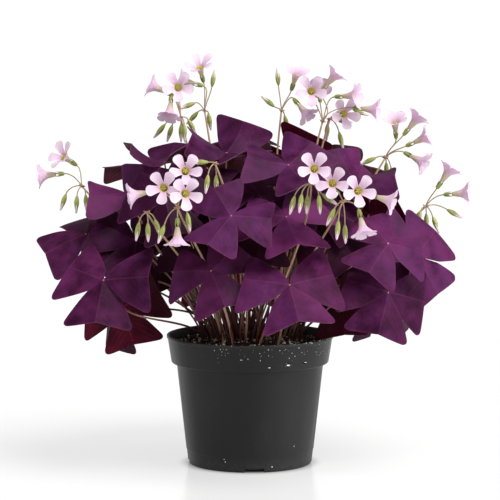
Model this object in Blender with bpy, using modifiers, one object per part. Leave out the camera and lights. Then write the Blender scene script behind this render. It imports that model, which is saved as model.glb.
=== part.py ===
"""Potted purple shamrock: a nursery pot of soil with leaf tufts, flower stalks and open blooms.

Sizes are in millimetres and angles in degrees; MM turns a length into metres as a mesh is made.
The front of the plant faces -Y. The pot stands on z = 0 with its axis on x = y = 0.
"""
import itertools
import math

import bmesh
import bpy
import numpy as np
from mathutils import Matrix, Vector
from mathutils.bvhtree import BVHTree

MM = 0.001
FIT_GAP = 0.3

# Pot: the outer side from the foot up to the lip, then the inner side
POT_HEIGHT = 101.0
RIM_RADIUS = 65.0
LIP_HEIGHT = 2.2
BAND_BOTTOM = 79.5
BAND_FOOT_RADIUS = 61.4
BODY_TOP_RADIUS = 57.3
BASE_RADIUS = 48.6
BASE_CHAMFER = 1.2
WALL = 1.3
FLOOR = 1.8
POT_SIDES = 40

# Notches in the pot's foot, each with a drain hole above it
NOTCH_COUNT = 4
NOTCH_TURN = 4.0
NOTCH_WIDTH = 15.0
NOTCH_HEIGHT = 3.3
NOTCH_DEPTH = 11.0
DRAIN_RADIUS = 2.6

# Soil: low at the wall and mounded at the middle
SOIL_EDGE = 94.0
SOIL_CROWN = 99.5
SOIL_RINGS = 4
SOIL_SIDES = 20
SOIL_RIPPLE = 0.9

# Leaves: three leaflets on a stem
LEAF_THICK = 0.7
LEAF_HALF_WIDTH = 0.80
LEAF_BULGE = 0.74
LEAF_WEB = 1.5
LEAF_NOTCH = 0.10
LEAF_CORNER = 0.05
LEAF_STATIONS = (0.0, 0.5, 0.92, 1.0)
LEAF_FOLDS = (9.0, 19.0)
LEAF_ROLL = 9.0
PETIOLE_RADIUS = 0.85
PETIOLE_STEPS = 4
LEAVES_IN_TUFT = 4
TUFT_RADIUS = 3.0
ROOT_DEPTH = 9.0

# Where stems come up: a sunflower pattern round the middle of the soil
SPOT_COUNT = 34
SPOT_SPACING = 7.2
SPOT_SHARE = 0.28
SPOT_TRIES = 6
GOLDEN_ANGLE = 137.5
STEM_LEAN = 0.35
UMBEL_AIM_HEIGHT = 60.0

# How far a stem stops short of what it grows to, when it is tested
STEM_END = 6.0
PEDICEL_END = 2.5

# Ways for the stems: rise from the soil, reach at the far end, and sideways bows
PETIOLE_LIFTS = (0.4, 0.25, 0.55, 0.7)
PETIOLE_REACHES = (0.35, 0.2, 0.5, 0.65)
PETIOLE_BOWS = (6.0, 12.0, 18.0, 24.0, 32.0, 40.0)
SCAPE_LIFTS = (0.35, 0.2, 0.5, 0.65)
SCAPE_REACHES = (0.3, 0.15, 0.45)
SCAPE_BOWS = (5.0, 10.0, 15.0, 20.0, 28.0, 36.0)
PEDICEL_BOWS = (2.0, 4.0, 6.0, 8.0, 11.0, 14.0)
HIGH_BOW_SHARES = (1.0, 0.2, -0.4)

# Moves that a leaf may make to keep clear, and what each costs per unit
LEAF_SCALES = (1.0, 0.9, 0.8)
LEAF_DEPTHS = range(-18, 34, 3)
LEAF_HEIGHTS = (0, -6, 6)
LEAF_TILTS = (0, -14, 14)
LEAF_TURNS = (0, -18, 18)
LEAF_SWINGS = (0, -20, 20)
LEAF_COSTS = (60.0, 1 / 9, 1 / 3, 1 / 6, 1 / 7, 1 / 8)

# Moves that a flower may make to keep clear: depth, and a step aside or up
FLOWER_DEPTHS = range(-18, 19, 3)
FLOWER_STEPS = (0, 3, -3)

# Flowers: a funnel of five petals on a green calyx
BLOOM_RADIUS = 12.6
BLOOM_CLEFT = 4.8
BLOOM_THROAT = 3.0
HALF_OPEN = 0.72
BLOOM_LENGTH = 14.0
BLOOM_CUP = 8.0
BLOOM_THICK = 0.6
PETAL_EDGE = 12.0
PETALS = 5
CALYX_LENGTH = 4.5
CALYX_RADIUS = 2.0
SCAPE_RADIUS = 0.95
SCAPE_STEPS = 5
PEDICEL_RADIUS = 0.5
PEDICEL_STEPS = 2
UMBEL_RADIUS = 1.7
BUD_LENGTH = 14.5
BUD_RADIUS = 2.0

# Colours
POT_COLOUR = (0.035, 0.035, 0.038)
SOIL_COLOUR = (0.045, 0.03, 0.022)
LEAF_COLOUR = (0.10, 0.022, 0.085)
STALK_COLOUR = (0.36, 0.26, 0.10)
PETAL_COLOUR = (0.83, 0.55, 0.80)

# Room kept round each shape while the plant is laid out
LEAF_ROOM = 0.9
STEM_ROOM = 0.4

# Leaves that the front shows: hub x, y, z, facing azimuth and elevation, heading, spread, length, droop.
# The heading is the way the first leaflet points as seen from the front, anticlockwise from +X.
# The spread is the angle from the first leaflet to each of the others, or one angle for each.
FRONT_LEAVES = (
    (29, -122, 155, -86, 44, -84, (99, 113), 37, 2),
    (-14, -106, 205, -98, 43, -6, 120, 32, 4),
    (27, -98, 202, -85, 58, -84, 120, 35, 4),
    (-29, -96, 163, -100, 38, -70, 120, 33, 6),
    (-110, -80, 153, -113, 36, -87, (98, 112), 37, 6),
    (-87, -50, 178, -70, 36, 152, 106, 36, 4),
    (104, -74, 143, -74, 26, -106, 97, 35, 8),
    (104, -72, 180, -66, 42, 238, 118, 32, 6),
    (-126, -25, 182, -110, 58, 215, 110, 37, 10),
    (127, -25, 165, -62, 24, 44, 98, 37, 4),
    (29, -58, 238, -84, 58, 170, 120, 34, -6),
    (-18, -34, 244, -86, 66, 178, 118, 33, -18),
    (-66, -10, 236, -92, 76, -90, 120, 32, -22),
    (-92, -32, 218, -120, 60, 182, 120, 33, -14),
    (80, -30, 224, -65, 62, 2, 120, 33, -14),
    (66, 0, 230, -60, 68, 62, 120, 30, -12),
    (93, 12, 199, 80, 20, 30, 112, 31, 6),
    (-49, -85, 190, -100, 30, 30, 115, 33, 8),
    (63, -88, 190, -80, 34, -60, 115, 33, 8),
    (-64, -70, 209, -105, 34, 160, 120, 34, 6),
    (53, -75, 209, -75, 38, -30, 120, 34, 6),
    (99, -35, 168, -70, 18, 110, 110, 33, 8),
    (-64, -22, 172, -100, 26, 40, 112, 33, 8),
    (6, -80, 189, -90, 26, -90, 112, 33, 8),
    (0, -70, 224, -90, 40, -92, 120, 34, 5),
    (-34, -70, 216, -100, 36, 200, 120, 34, 5),
    (-97, -38, 129, 105, 8, -75, 105, 32, 8),
    (-105, -50, 124, -170, 8, -88, 104, 34, 8),
    (70, -32, 141, 84, 8, -80, 104, 32, 10),
    (98, -40, 131, -15, 8, -80, 104, 34, 12),
    (126, 0, 136, -20, 15, -60, 105, 35, 12),
    (38, 30, 236, 70, 34, 66, 116, 31, 0),
    (-82, 35, 231, 130, 60, 170, 120, 35, 0),
    (85, 45, 229, 50, 60, 10, 120, 34, 0),
)

# Leaves round the back: rows of height, hub radius, facing elevation and azimuths
BACK_ROWS = (
    (240, 55, 55, (78, 106, 132)),
    (200, 104, 38, (22, 60, 95, 130, 162)),
    (150, 112, 22, (18, 50, 82, 112, 142, 172)),
)
BACK_LEAF_SPREAD = 120.0
BACK_LEAF_LENGTH = 36.0
BACK_LEAF_DROOP = 10.0
BACK_HEADING_STEP = 47.0

# Flower heads: umbel x, y, z, then blooms and buds.
# A bloom is its mouth's x, y, z from the umbel, then the azimuth and elevation that it faces.
# A bud is its middle's x, y, z from the umbel, then the elevation that it points to.
SPRAYS = (
    ((-36, 55, 272),
     ((-5, 0, 39, -110, 55), (-21, 0, 25, 180, 15)),
     ((7, 0, 26, 80), (4, 3, -9, -80), (-14, -3, 4, -20), (-10, 4, -6, -45))),
    ((-54, 20, 269),
     ((-2, -8, 25, -90, 15), (-25, 0, 26, 180, 25), (-9, -9, 0, -100, -60)),
     ((-17, 2, -11, -50), (-9, 5, -13, -70), (0, 6, -13, -85), (3, -7, -12, -85), (9, 3, -8, -60))),
    ((25, 60, 272),
     ((13, 0, 33, -60, 60), (22, -5, -5, -30, -45)),
     ((-3, 0, 27, 85), (4, 3, -11, -75), (-11, 5, 7, 35))),
    ((57, 30, 265),
     ((-9, -8, 25, -90, 10), (12, 5, 39, 0, 50), (-2, 17, 26, 90, 30), (28, -4, 21, -25, 5),
      (44, 0, 9, -10, -5)),
     ()),
    ((63, 45, 266),
     ((13, -16, 5, -70, 5),),
     ((12, 6, -2, -10), (25, 5, 5, -20), (-2, 6, -11, -80), (9, -3, -17, -75))),
    ((107, 40, 236),
     ((7, 0, 32, -100, 60), (27, 6, 33, 10, 50), (34, -8, 18, -10, 25), (31, -14, -4, -25, -25)),
     ((1, 3, -11, -80), (6, -5, -14, -70), (-14, 0, -3, -25))),
    ((137, 10, 200),
     ((20, 0, 31, 10, 55), (34, -3, 11, -10, 5)),
     ((23, 3, -6, -30), (8, -5, -14, -65), (1, 5, -13, -85), (-6, -3, -10, -70))),
    ((-131, 10, 216),
     ((-18, -5, 26, -140, 30), (-34, 0, 8, 180, -5)),
     ((-15, 3, -13, -70), (-4, -5, -14, -85), (3, 4, -14, -85))),
    ((-53, -128, 212),
     ((6, 3, 29, -85, 25), (-11, -8, 16, -100, 10), (7, -16, 12, -80, 5), (-36, -2, 9, 190, -10),
      (0, -6, -27, -90, -80)),
     ((-12, -4, -19, -70), (8, 5, -11, -80))),
    ((45, -118, 229),
     ((2, -11, 13, -90, 15),),
     ((-14, 0, -16, -75), (-8, -6, -14, -80), (-3, 5, -16, -85), (6, -4, -15, -85), (14, 2, -12, -35))),
    ((68, -125, 216),
     ((-8, -6, 15, -95, 15), (12, -14, 10, -80, 10), (38, 0, 0, -15, -15), (16, -4, -24, -60, -65)),
     ((-9, 0, -11, -65), (-4, -6, -20, -80), (2, 4, -24, -85))),
    ((-76, -112, 207),
     (),
     ((-7, 0, -14, -80), (1, -6, -14, -85), (8, 4, -12, -70))),
    ((-26, -95, 242),
     (),
     ((-12, 0, 1, 0), (-6, -5, -15, -80), (1, 5, -16, -85))),
)


def clear_scene():
    """Removes every object, so that the part is alone in the file."""
    for thing in list(bpy.data.objects):
        bpy.data.objects.remove(thing, do_unlink=True)


def unit(vector):
    """The vector at length one."""
    return vector / np.linalg.norm(vector)


def direction(azimuth, elevation):
    """The unit vector that points to an azimuth and an elevation."""
    a, e = math.radians(azimuth), math.radians(elevation)
    return np.array((math.cos(e) * math.cos(a), math.cos(e) * math.sin(a), math.sin(e)))


def turned_to(axis, towards):
    """Rotation whose third column is axis and whose first leans towards a second direction."""
    first = unit(towards - axis * towards.dot(axis))
    return np.column_stack((first, np.cross(axis, first), axis))


def curve_points(start, rise, reach, end, steps):
    """Points of a cubic curve from start to end by way of two pull points."""
    t = np.linspace(0.0, 1.0, steps + 1)[:, None]
    return ((1 - t) ** 3 * start + 3 * t * (1 - t) ** 2 * rise
            + 3 * t ** 2 * (1 - t) * reach + t ** 3 * end)


# Shapes in their own frames

def leaflet_turns(spread):
    """Each leaflet's turn about the hub, and the angles to its two webs from its own midrib."""
    second, third = np.broadcast_to(spread, 2)
    back = 180 - (second + third) / 2
    return ((0, (-third / 2, second / 2)), (second, (-second / 2, back)), (-third, (-back, third / 2)))


def leaflet_point(along, across, length, webs, folds, droop):
    """A point of a leaflet whose midrib runs along +X, folded and drooping from the leaf's plane."""
    edge, half = abs(across), int(across > 0)
    if along == 0.0:
        angle = math.radians(webs[half])
        return LEAF_WEB * edge * math.cos(angle), LEAF_WEB * edge * math.sin(angle), 0.0
    end = 1.0 - LEAF_NOTCH * (1.0 - edge) ** 1.6
    end -= LEAF_CORNER * max(0.0, (edge - 0.7) / 0.3) ** 2
    spread = min(along / 0.94, 1.0) ** LEAF_BULGE
    spread *= 1.0 - 0.1 * max(0.0, (along - 0.9) / 0.1) ** 2
    x = along * length * end
    y = across * (LEAF_WEB + (length * LEAF_HALF_WIDTH - LEAF_WEB) * spread)
    lean = math.radians(folds[half])
    y, z = y * math.cos(lean), -abs(y) * math.sin(lean)
    sag = math.radians(droop * (0.5 + 0.9 * along))
    return x * math.cos(sag) + z * math.sin(sag), y, z * math.cos(sag) - x * math.sin(sag)


def leaf_mesh(leaf, thick):
    """A leaf's three leaflets as one closed blade, with the hub at the origin and facing +Z."""
    bm = bmesh.new()
    last = len(LEAF_STATIONS) - 1
    for (angle, webs), folds, droop in zip(leaflet_turns(leaf["spread"]), leaf["folds"], leaf["droops"]):
        turn = Matrix.Rotation(math.radians(angle), 3, "Z")
        grid = bmesh.ops.create_grid(bm, x_segments=last, y_segments=2, size=0.5)
        for vert in grid["verts"]:
            along = LEAF_STATIONS[round((vert.co.x + 0.5) * last)]
            point = leaflet_point(along, vert.co.y * 2.0, leaf["length"], webs, folds, droop)
            vert.co = turn @ Vector(point)
    bmesh.ops.remove_doubles(bm, verts=bm.verts[:], dist=0.01)
    bmesh.ops.triangulate(bm, faces=bm.faces[:])
    thicken(bm, thick)
    return bm


def thicken(bm, thick):
    """Turns an open sheet into a closed blade with the sheet in its middle."""
    bmesh.ops.recalc_face_normals(bm, faces=bm.faces[:])
    bm.normal_update()
    for vert in bm.verts:
        vert.co += vert.normal * thick / 2
    bmesh.ops.solidify(bm, geom=bm.faces[:], thickness=thick)
    bmesh.ops.recalc_face_normals(bm, faces=bm.faces[:])


def bloom_mesh(thick, opening):
    """A five-petalled funnel that opens to +Z, with the foot of its throat at the origin."""
    bm = bmesh.new()
    columns = 3 * PETALS
    bmesh.ops.create_grid(bm, x_segments=columns, y_segments=2, size=0.5)
    for vert in bm.verts:
        column = round((vert.co.x + 0.5) * columns) % columns
        ring = round((vert.co.y + 0.5) * 2)
        petal, place = divmod(column, 3)
        edge = PETAL_EDGE if ring == 2 else 0.0
        across = (0.0, edge, 360 / PETALS - edge)[place]
        angle = math.radians(360 / PETALS * petal + across)
        outer = BLOOM_CLEFT if place == 0 else BLOOM_RADIUS * opening
        top = BLOOM_CUP + (BLOOM_LENGTH - BLOOM_CUP) * (0.45 if place == 0 else 1.0)
        radius = (0.0, BLOOM_THROAT, outer)[ring]
        vert.co = (radius * math.cos(angle), radius * math.sin(angle), (0.0, BLOOM_CUP, top)[ring])
    bmesh.ops.remove_doubles(bm, verts=bm.verts[:], dist=0.01)
    bmesh.ops.triangulate(bm, faces=bm.faces[:])
    thicken(bm, thick)
    return bm


def stem_end(item, grow):
    """The swollen end of a thin stem, as places along its axis and radii: a bud or a calyx."""
    if "opening" in item:
        places = ((-CALYX_LENGTH, 0.7), (0.0, CALYX_RADIUS))
    else:
        places = ((-BUD_LENGTH / 2, PEDICEL_RADIUS), (-1.0, BUD_RADIUS), (BUD_LENGTH / 2, 0.5))
    return [(item["top"] + item["aim"] * along, radius + grow) for along, radius in places]


def as_arrays(bm):
    """The points and triangles of a mesh, which is freed."""
    bmesh.ops.triangulate(bm, faces=bm.faces[:])
    bm.verts.index_update()
    points = np.array([vert.co[:] for vert in bm.verts])
    faces = [tuple(vert.index for vert in face.verts) for face in bm.faces]
    bm.free()
    return points, faces


def tube_arrays(points, radii):
    """Points and faces of a four-sided tube, to test a stem's way."""
    points = np.array(points)
    radii = np.broadcast_to(radii, len(points))[:, None]
    ahead = np.gradient(points, axis=0)
    ahead /= np.linalg.norm(ahead, axis=1)[:, None]
    side = np.cross(ahead, (0.31, 0.87, 0.38))
    side /= np.linalg.norm(side, axis=1)[:, None]
    other = np.cross(ahead, side)
    rings = [points + radii * shift for shift in (side, other, -side, -other)]
    count = len(points)
    faces = []
    for k in range(4):
        for i in range(count - 1):
            a, b = k * count + i, (k + 1) % 4 * count + i
            faces.append((a, b, b + 1, a + 1))
    return np.concatenate(rings), faces


def shortened(points, by):
    """A line of points that stops short of its end."""
    points = np.array(points)
    points[-1] -= unit(points[-1] - points[-2]) * by
    return points


# Room: what is in place already, and where the next shape can go

class Room:
    """Shapes that are in place, as boxes and search trees."""

    def __init__(self):
        self.boxes = np.zeros((0, 2, 3))
        self.trees = []

    def add(self, shapes):
        """Puts more shapes in place."""
        self.boxes = np.concatenate((self.boxes, [shape[:2] for shape in shapes]))
        self.trees += [shape[2] for shape in shapes]

    def drop_last(self):
        """Takes the last shape out again and gives it back."""
        low, high = self.boxes[-1]
        self.boxes = self.boxes[:-1]
        return low, high, self.trees.pop()

    def clashes(self, shape, limit):
        """How many pairs of faces of the shape cross what is in place, counted up to a limit."""
        low, high, tree = shape
        near = ((self.boxes[:, 0] <= high) & (self.boxes[:, 1] >= low)).all(axis=1)
        count = 0
        for k in np.flatnonzero(near):
            count += len(tree.overlap(self.trees[k]))
            if count >= limit:
                break
        return count


def solid_of(points, faces):
    """A shape's box and search tree."""
    return points.min(axis=0), points.max(axis=0), BVHTree.FromPolygons(points.tolist(), faces)


def settle(variants, make, placed):
    """The first variant that is clear of what is in place, or else the one that clashes least."""
    best, fewest, chosen = None, math.inf, None
    for variant in variants:
        shapes = make(variant)
        count = 0
        for shape in shapes:
            count += placed.clashes(shape, fewest - count)
            if count >= fewest:
                break
        if count < fewest:
            best, fewest, chosen = variant, count, shapes
        if count == 0:
            break
    if fewest:
        print("no clear place for", np.round(best, 1).tolist(), fewest)
    placed.add(chosen)
    return best


# Layout of the leaves

def leaf_list():
    """Every leaf's hub, facing, heading, spread, length, folds and droops, before any is moved."""
    rows = [dict(hub=row[:3], azimuth=row[3], elevation=row[4], heading=row[5], spread=row[6],
                 length=row[7], droop=row[8]) for row in FRONT_LEAVES]
    for height, radius, elevation, azimuths in BACK_ROWS:
        for azimuth in azimuths:
            a = math.radians(azimuth)
            heading = 90.0 + BACK_HEADING_STEP * len(rows)
            rows.append(dict(hub=(radius * math.cos(a), radius * math.sin(a), height),
                             azimuth=azimuth, elevation=elevation, heading=heading,
                             spread=BACK_LEAF_SPREAD, length=BACK_LEAF_LENGTH,
                             droop=BACK_LEAF_DROOP))
    draw = np.random.RandomState(11)
    for row in rows:
        rolls = draw.uniform(-LEAF_ROLL, LEAF_ROLL, 3)
        folds = draw.uniform(*LEAF_FOLDS, 3)
        row["folds"] = np.stack((folds - rolls, folds + rolls), axis=1)
        row["droops"] = row["droop"] + draw.uniform(-4.0, 4.0, 3)
    return rows


def leaf_place(leaf, move):
    """The leaf's rotation and hub after a move of its depth, height, tilt, turn and swing."""
    _, depth, height, tilt, turn, swing = move
    facing = direction(leaf["azimuth"] + swing, leaf["elevation"] + tilt)
    heading = math.radians(leaf["heading"] + turn)
    towards = np.array((math.cos(heading), 0.0, math.sin(heading)))
    return turned_to(facing, towards), np.array(leaf["hub"]) + (0.0, depth, height)


def leaf_moves():
    """Moves that a leaf may make, the smallest first. Depth keeps its place in the front view."""
    moves = itertools.product(LEAF_SCALES, LEAF_DEPTHS, LEAF_HEIGHTS, LEAF_TILTS, LEAF_TURNS, LEAF_SWINGS)
    still = (1.0, 0, 0, 0, 0, 0)

    def cost(move):
        return sum(abs(a - b) * share for a, b, share in zip(move, still, LEAF_COSTS))
    return sorted(moves, key=cost)


def place_leaves(leaves, placed):
    """Moves each leaf in turn to where it is clear of those before it."""
    moves = leaf_moves()
    for leaf in leaves:
        points, faces = as_arrays(leaf_mesh(leaf, 2 * LEAF_ROOM))

        def make(move):
            rotation, hub = leaf_place(leaf, move)
            return [solid_of(points * move[0] @ rotation.T + hub, faces)]

        move = settle(moves, make, placed)
        leaf["rotation"], leaf["hub"] = leaf_place(leaf, move)
        leaf["length"] *= move[0]


# Layout of the flower heads

def head_list():
    """Every flower head with its umbel, blooms and buds as places and directions."""
    heads = []
    lowest = {opening: as_arrays(bloom_mesh(BLOOM_THICK, opening))[0][:, 2].min()
              for opening in (1.0, HALF_OPEN)}
    for umbel, blooms, buds in SPRAYS:
        umbel = np.array(umbel, float)
        head = dict(umbel=umbel, blooms=[], buds=[])
        for x, y, z, azimuth, elevation in blooms:
            aim = direction(azimuth, elevation)
            foot = umbel + (x, y, z) - BLOOM_LENGTH * aim
            opening = 1.0 if aim[1] < -0.5 and aim[2] > -0.5 else HALF_OPEN
            top = foot + (lowest[opening] - FIT_GAP) * aim
            head["blooms"].append(dict(foot=foot, top=top, aim=aim, opening=opening))
        for x, y, z, elevation in buds:
            aim = direction(math.degrees(math.atan2(y, x)), elevation)
            middle = umbel + (x, y, z)
            head["buds"].append(dict(foot=middle, top=middle, aim=aim))
        heads.append(head)
    return heads


def posed(arrays, aim, place):
    """A shape's box and tree once its +Z points along aim and its origin is at place."""
    side = np.array((0.0, 0.0, 1.0)) if abs(aim[2]) < 0.9 else np.array((1.0, 0.0, 0.0))
    points, faces = arrays
    return solid_of(points @ turned_to(aim, side).T + place, faces)


def pedicel_points(umbel, end, aim, bow):
    """A flower's thin stem from the umbel to its calyx or bud, which it meets along aim."""
    span = np.linalg.norm(end - umbel)
    first = unit(end - umbel + (0.0, 0.0, span * 0.6) + bow)
    start = umbel + first * UMBEL_RADIUS * 0.5
    return curve_points(start, umbel + first * span * 0.4 + bow, end - aim * span * 0.3 + bow * 0.5,
                        end, PEDICEL_STEPS)


def sideways_bows(sizes):
    """Sideways pulls on a stem, the smallest first."""
    bows = [np.zeros(3)]
    for size in sizes:
        for turn in range(0, 360, 45):
            for rise in (0, 1):
                bows.append(size * direction(turn, 35 * rise))
    return bows


def end_shape(item, shift):
    """A bud's or calyx's box and tree, with room round it, moved by a shift."""
    ends = stem_end(item, STEM_ROOM / 2)
    return solid_of(*tube_arrays([place + shift for place, _ in ends], [radius for _, radius in ends]))


def place_heads(heads, placed):
    """Sets blooms and buds clear of each other, mostly by their depth."""
    blooms = {opening: as_arrays(bloom_mesh(BLOOM_THICK + 1.0, opening)) for opening in (1.0, HALF_OPEN)}
    shifts = [np.array(shift) for shift in itertools.product(FLOWER_STEPS, FLOWER_DEPTHS, FLOWER_STEPS)]
    shifts.sort(key=lambda shift: abs(shift[1]) + 2 * abs(shift[0]) + 2 * abs(shift[2]))
    for head in heads:
        for item in head["blooms"] + head["buds"]:
            def make(shift):
                shapes = [end_shape(item, shift)]
                if "opening" in item:
                    shapes.append(posed(blooms[item["opening"]], item["aim"], item["foot"] + shift))
                return shapes
            shift = settle(shifts, make, placed)
            for key in ("top", "foot"):
                item[key] = item[key] + shift


def place_pedicels(heads, placed):
    """Finds each flower's stem a way from its umbel that is clear of other flowers."""
    bows = sideways_bows(PEDICEL_BOWS)
    for head in heads:
        own = []
        for item in head["blooms"] + head["buds"]:
            ends = stem_end(item, 0.0)
            end = ends[0][0]

            def make(bow):
                points = pedicel_points(head["umbel"], end, item["aim"], bow)
                points = shortened(points, PEDICEL_END)
                return [solid_of(*tube_arrays(points, PEDICEL_RADIUS + STEM_ROOM / 2))]
            bow = settle(bows, make, placed)
            own.append(placed.drop_last())
            line = pedicel_points(head["umbel"], end, item["aim"], bow)
            radii = [PEDICEL_RADIUS] * (len(line) - 1) + [radius for _, radius in ends]
            item["stem"] = np.array([*line, *(place for place, _ in ends[1:])])
            item["radii"] = radii
        placed.add(own)


# Layout of the long stems

def soil_spots():
    """Places in the soil where stems come up, spread evenly round the middle."""
    spots = []
    for k in range(SPOT_COUNT):
        radius, angle = SPOT_SPACING * math.sqrt(k), math.radians(GOLDEN_ANGLE * k)
        x, y = radius * math.cos(angle), radius * math.sin(angle)
        spots.append(np.array((x, y, soil_height(x, y))))
    return spots


def nearest_spots(spots, towards):
    """The free places in the soil, from the one nearest under what grows from it."""
    wanted = np.array(towards[:2]) * SPOT_SHARE
    return sorted(spots, key=lambda spot: np.linalg.norm(spot[:2] - wanted))


def take_spot(spots, place):
    """Takes a place in the soil, so that nothing else grows from it."""
    spots[:] = [spot for spot in spots if (spot != place).any()]
    return place


def tuft_list(leaves, spots):
    """Groups the leaves into tufts by azimuth and gives each tuft its place in the soil."""
    order = sorted(leaves, key=lambda leaf: math.atan2(leaf["hub"][1], leaf["hub"][0]))
    tufts = []
    for k in range(0, len(order), LEAVES_IN_TUFT):
        group = order[k:k + LEAVES_IN_TUFT]
        middle = sum(leaf["hub"] for leaf in group) / len(group)
        tufts.append(dict(leaves=group, crown=take_spot(spots, nearest_spots(spots, middle)[0])))
    return tufts


def soil_height(x, y):
    """The height of the soil at a place: a mound with shallow ripples."""
    out = min(math.hypot(x, y) / soil_profile()[0][0], 1.0)
    ripple = SOIL_RIPPLE * math.sin(0.21 * x + 0.6) * math.cos(0.17 * y - 0.4)
    return SOIL_EDGE + (SOIL_CROWN - SOIL_EDGE) * (1.0 - out ** 2) + ripple * (1.0 - out)


def stem_ways(lifts, reaches, bows):
    """Ways for a long stem: how far it rises, how it meets its end, and its bows at both."""
    ways = [(lift, reach, bow, bow * share) for lift in lifts for reach in reaches for bow in bows
            for share in HIGH_BOW_SHARES]
    ways.sort(key=lambda w: 3 * abs(w[0] - lifts[0]) + 3 * abs(w[1] - reaches[0])
              + np.linalg.norm(w[2]) / 12 + np.linalg.norm(w[2] - w[3]) / 30)
    return ways


def stem_points(start, end, meet, way, steps):
    """A long stem that leaves the soil steeply and meets its end along a direction."""
    lift, reach, low_bow, high_bow = way
    span = np.linalg.norm(end - start)
    out = unit((end - start) * (1.0, 1.0, 0.0) + (1e-6, 0.0, 0.0))
    rise = start + span * lift * unit(out * STEM_LEAN + (0.0, 0.0, 1.0)) + low_bow
    return curve_points(start, rise, end - meet * span * reach + high_bow, end, steps)


def route(starts, end, meet, ways, radius, steps, placed):
    """The best line for a stem to its end, and its shape, which stops short of the end."""
    lines = (stem_points(start, end, meet, way, steps) for start in starts for way in ways)

    def make(line):
        return [solid_of(*tube_arrays(shortened(line, STEM_END), radius + STEM_ROOM))]
    return settle(lines, make, placed), placed.drop_last()


def place_petioles(tufts, placed):
    """Finds each leaf's stem a way from its tuft to its hub."""
    ways = stem_ways(PETIOLE_LIFTS, PETIOLE_REACHES, sideways_bows(PETIOLE_BOWS))
    for tuft in tufts:
        own = []
        for number, leaf in enumerate(tuft["leaves"]):
            start = tuft["crown"] + direction(90 * number, 0) * TUFT_RADIUS * 0.4
            normal = leaf["rotation"][:, 2]
            leaf["stem"], shape = route([start], leaf["hub"], normal, ways, PETIOLE_RADIUS,
                                        PETIOLE_STEPS, placed)
            own.append(shape)
        placed.add(own)


def place_scapes(heads, spots, placed):
    """Finds each flower head's stem a way from the soil to its umbel."""
    ways = stem_ways(SCAPE_LIFTS, SCAPE_REACHES, sideways_bows(SCAPE_BOWS))
    for head in heads:
        starts = nearest_spots(spots, head["umbel"])[:SPOT_TRIES]
        meet = unit(head["umbel"] - (0.0, 0.0, UMBEL_AIM_HEIGHT))
        line, shape = route(starts, head["umbel"], meet, ways, SCAPE_RADIUS, SCAPE_STEPS, placed)
        placed.add([shape])
        head["root"] = take_spot(spots, line[0])
        head["stem"] = np.array([line[0] - (0.0, 0.0, ROOT_DEPTH), *line])


def plant_layout():
    """The whole plant: flower heads on their scapes, then leaves from the front back on theirs."""
    placed = Room()
    heads = head_list()
    place_heads(heads, placed)
    place_pedicels(heads, placed)
    spots = soil_spots()
    place_scapes(heads, spots, placed)
    leaves = leaf_list()
    place_leaves(leaves, placed)
    tufts = tuft_list(leaves, spots)
    place_petioles(tufts, placed)
    return heads, tufts


# Making objects

def material(name, colour, roughness):
    """A plain material for one object."""
    mat = bpy.data.materials.new(name)
    mat.use_nodes = True
    shader = mat.node_tree.nodes["Principled BSDF"]
    shader.inputs["Base Color"].default_value = (*colour, 1.0)
    shader.inputs["Roughness"].default_value = roughness
    return mat


def add_object(name, bm, collection):
    """Turns a mesh in millimetres into an object in metres."""
    bmesh.ops.scale(bm, vec=(MM, MM, MM), verts=bm.verts[:])
    mesh = bpy.data.meshes.new(name)
    bm.to_mesh(mesh)
    bm.free()
    thing = bpy.data.objects.new(name, mesh)
    collection.objects.link(thing)
    return thing


def bake(thing):
    """Replaces an object's mesh by what its modifiers make of it."""
    bpy.context.view_layer.update()
    seen = thing.evaluated_get(bpy.context.evaluated_depsgraph_get())
    mesh = bpy.data.meshes.new_from_object(seen)
    thing.modifiers.clear()
    thing.data = mesh


def turned(name, profile, sides, collection):
    """A solid of revolution from a closed profile that starts and ends on the axis."""
    mesh = bpy.data.meshes.new(name)
    points = [(x * MM, 0.0, z * MM) for x, z in profile]
    mesh.from_pydata(points, [(k, k + 1) for k in range(len(points) - 1)], [])
    thing = bpy.data.objects.new(name, mesh)
    collection.objects.link(thing)
    screw = thing.modifiers.new("Turn", "SCREW")
    screw.steps = screw.render_steps = sides
    screw.use_merge_vertices = True
    screw.merge_threshold = 0.00001
    bake(thing)
    return thing


def tube(name, points, radii, collection):
    """A stem along a line of points with a radius at each, as a closed mesh."""
    curve = bpy.data.curves.new(name, "CURVE")
    curve.dimensions = "3D"
    curve.bevel_depth = MM
    curve.bevel_resolution = 0
    curve.use_fill_caps = True
    spline = curve.splines.new("POLY")
    spline.points.add(len(points) - 1)
    for point, place, radius in zip(spline.points, points, np.broadcast_to(radii, len(points))):
        point.co = (*(place * MM), 1.0)
        point.radius = radius
    line = bpy.data.objects.new(name, curve)
    collection.objects.link(line)
    bpy.context.view_layer.update()
    seen = line.evaluated_get(bpy.context.evaluated_depsgraph_get())
    thing = bpy.data.objects.new(name, bpy.data.meshes.new_from_object(seen))
    thing.matrix_world = line.matrix_world
    bpy.data.objects.remove(line)
    collection.objects.link(thing)
    bm = bmesh.new()
    bm.from_mesh(thing.data)
    bmesh.ops.remove_doubles(bm, verts=bm.verts[:], dist=0.00001)
    bmesh.ops.recalc_face_normals(bm, faces=bm.faces[:])
    bm.to_mesh(thing.data)
    bm.free()
    return thing


def aimed(bm, aim, place):
    """Turns a mesh's +Z to aim and moves its origin to place."""
    side = np.array((0.0, 0.0, 1.0)) if abs(aim[2]) < 0.9 else np.array((1.0, 0.0, 0.0))
    pose = Matrix(turned_to(aim, side).tolist()).to_4x4()
    pose.translation = place
    bmesh.ops.transform(bm, matrix=pose, verts=bm.verts[:])
    return bm


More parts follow.
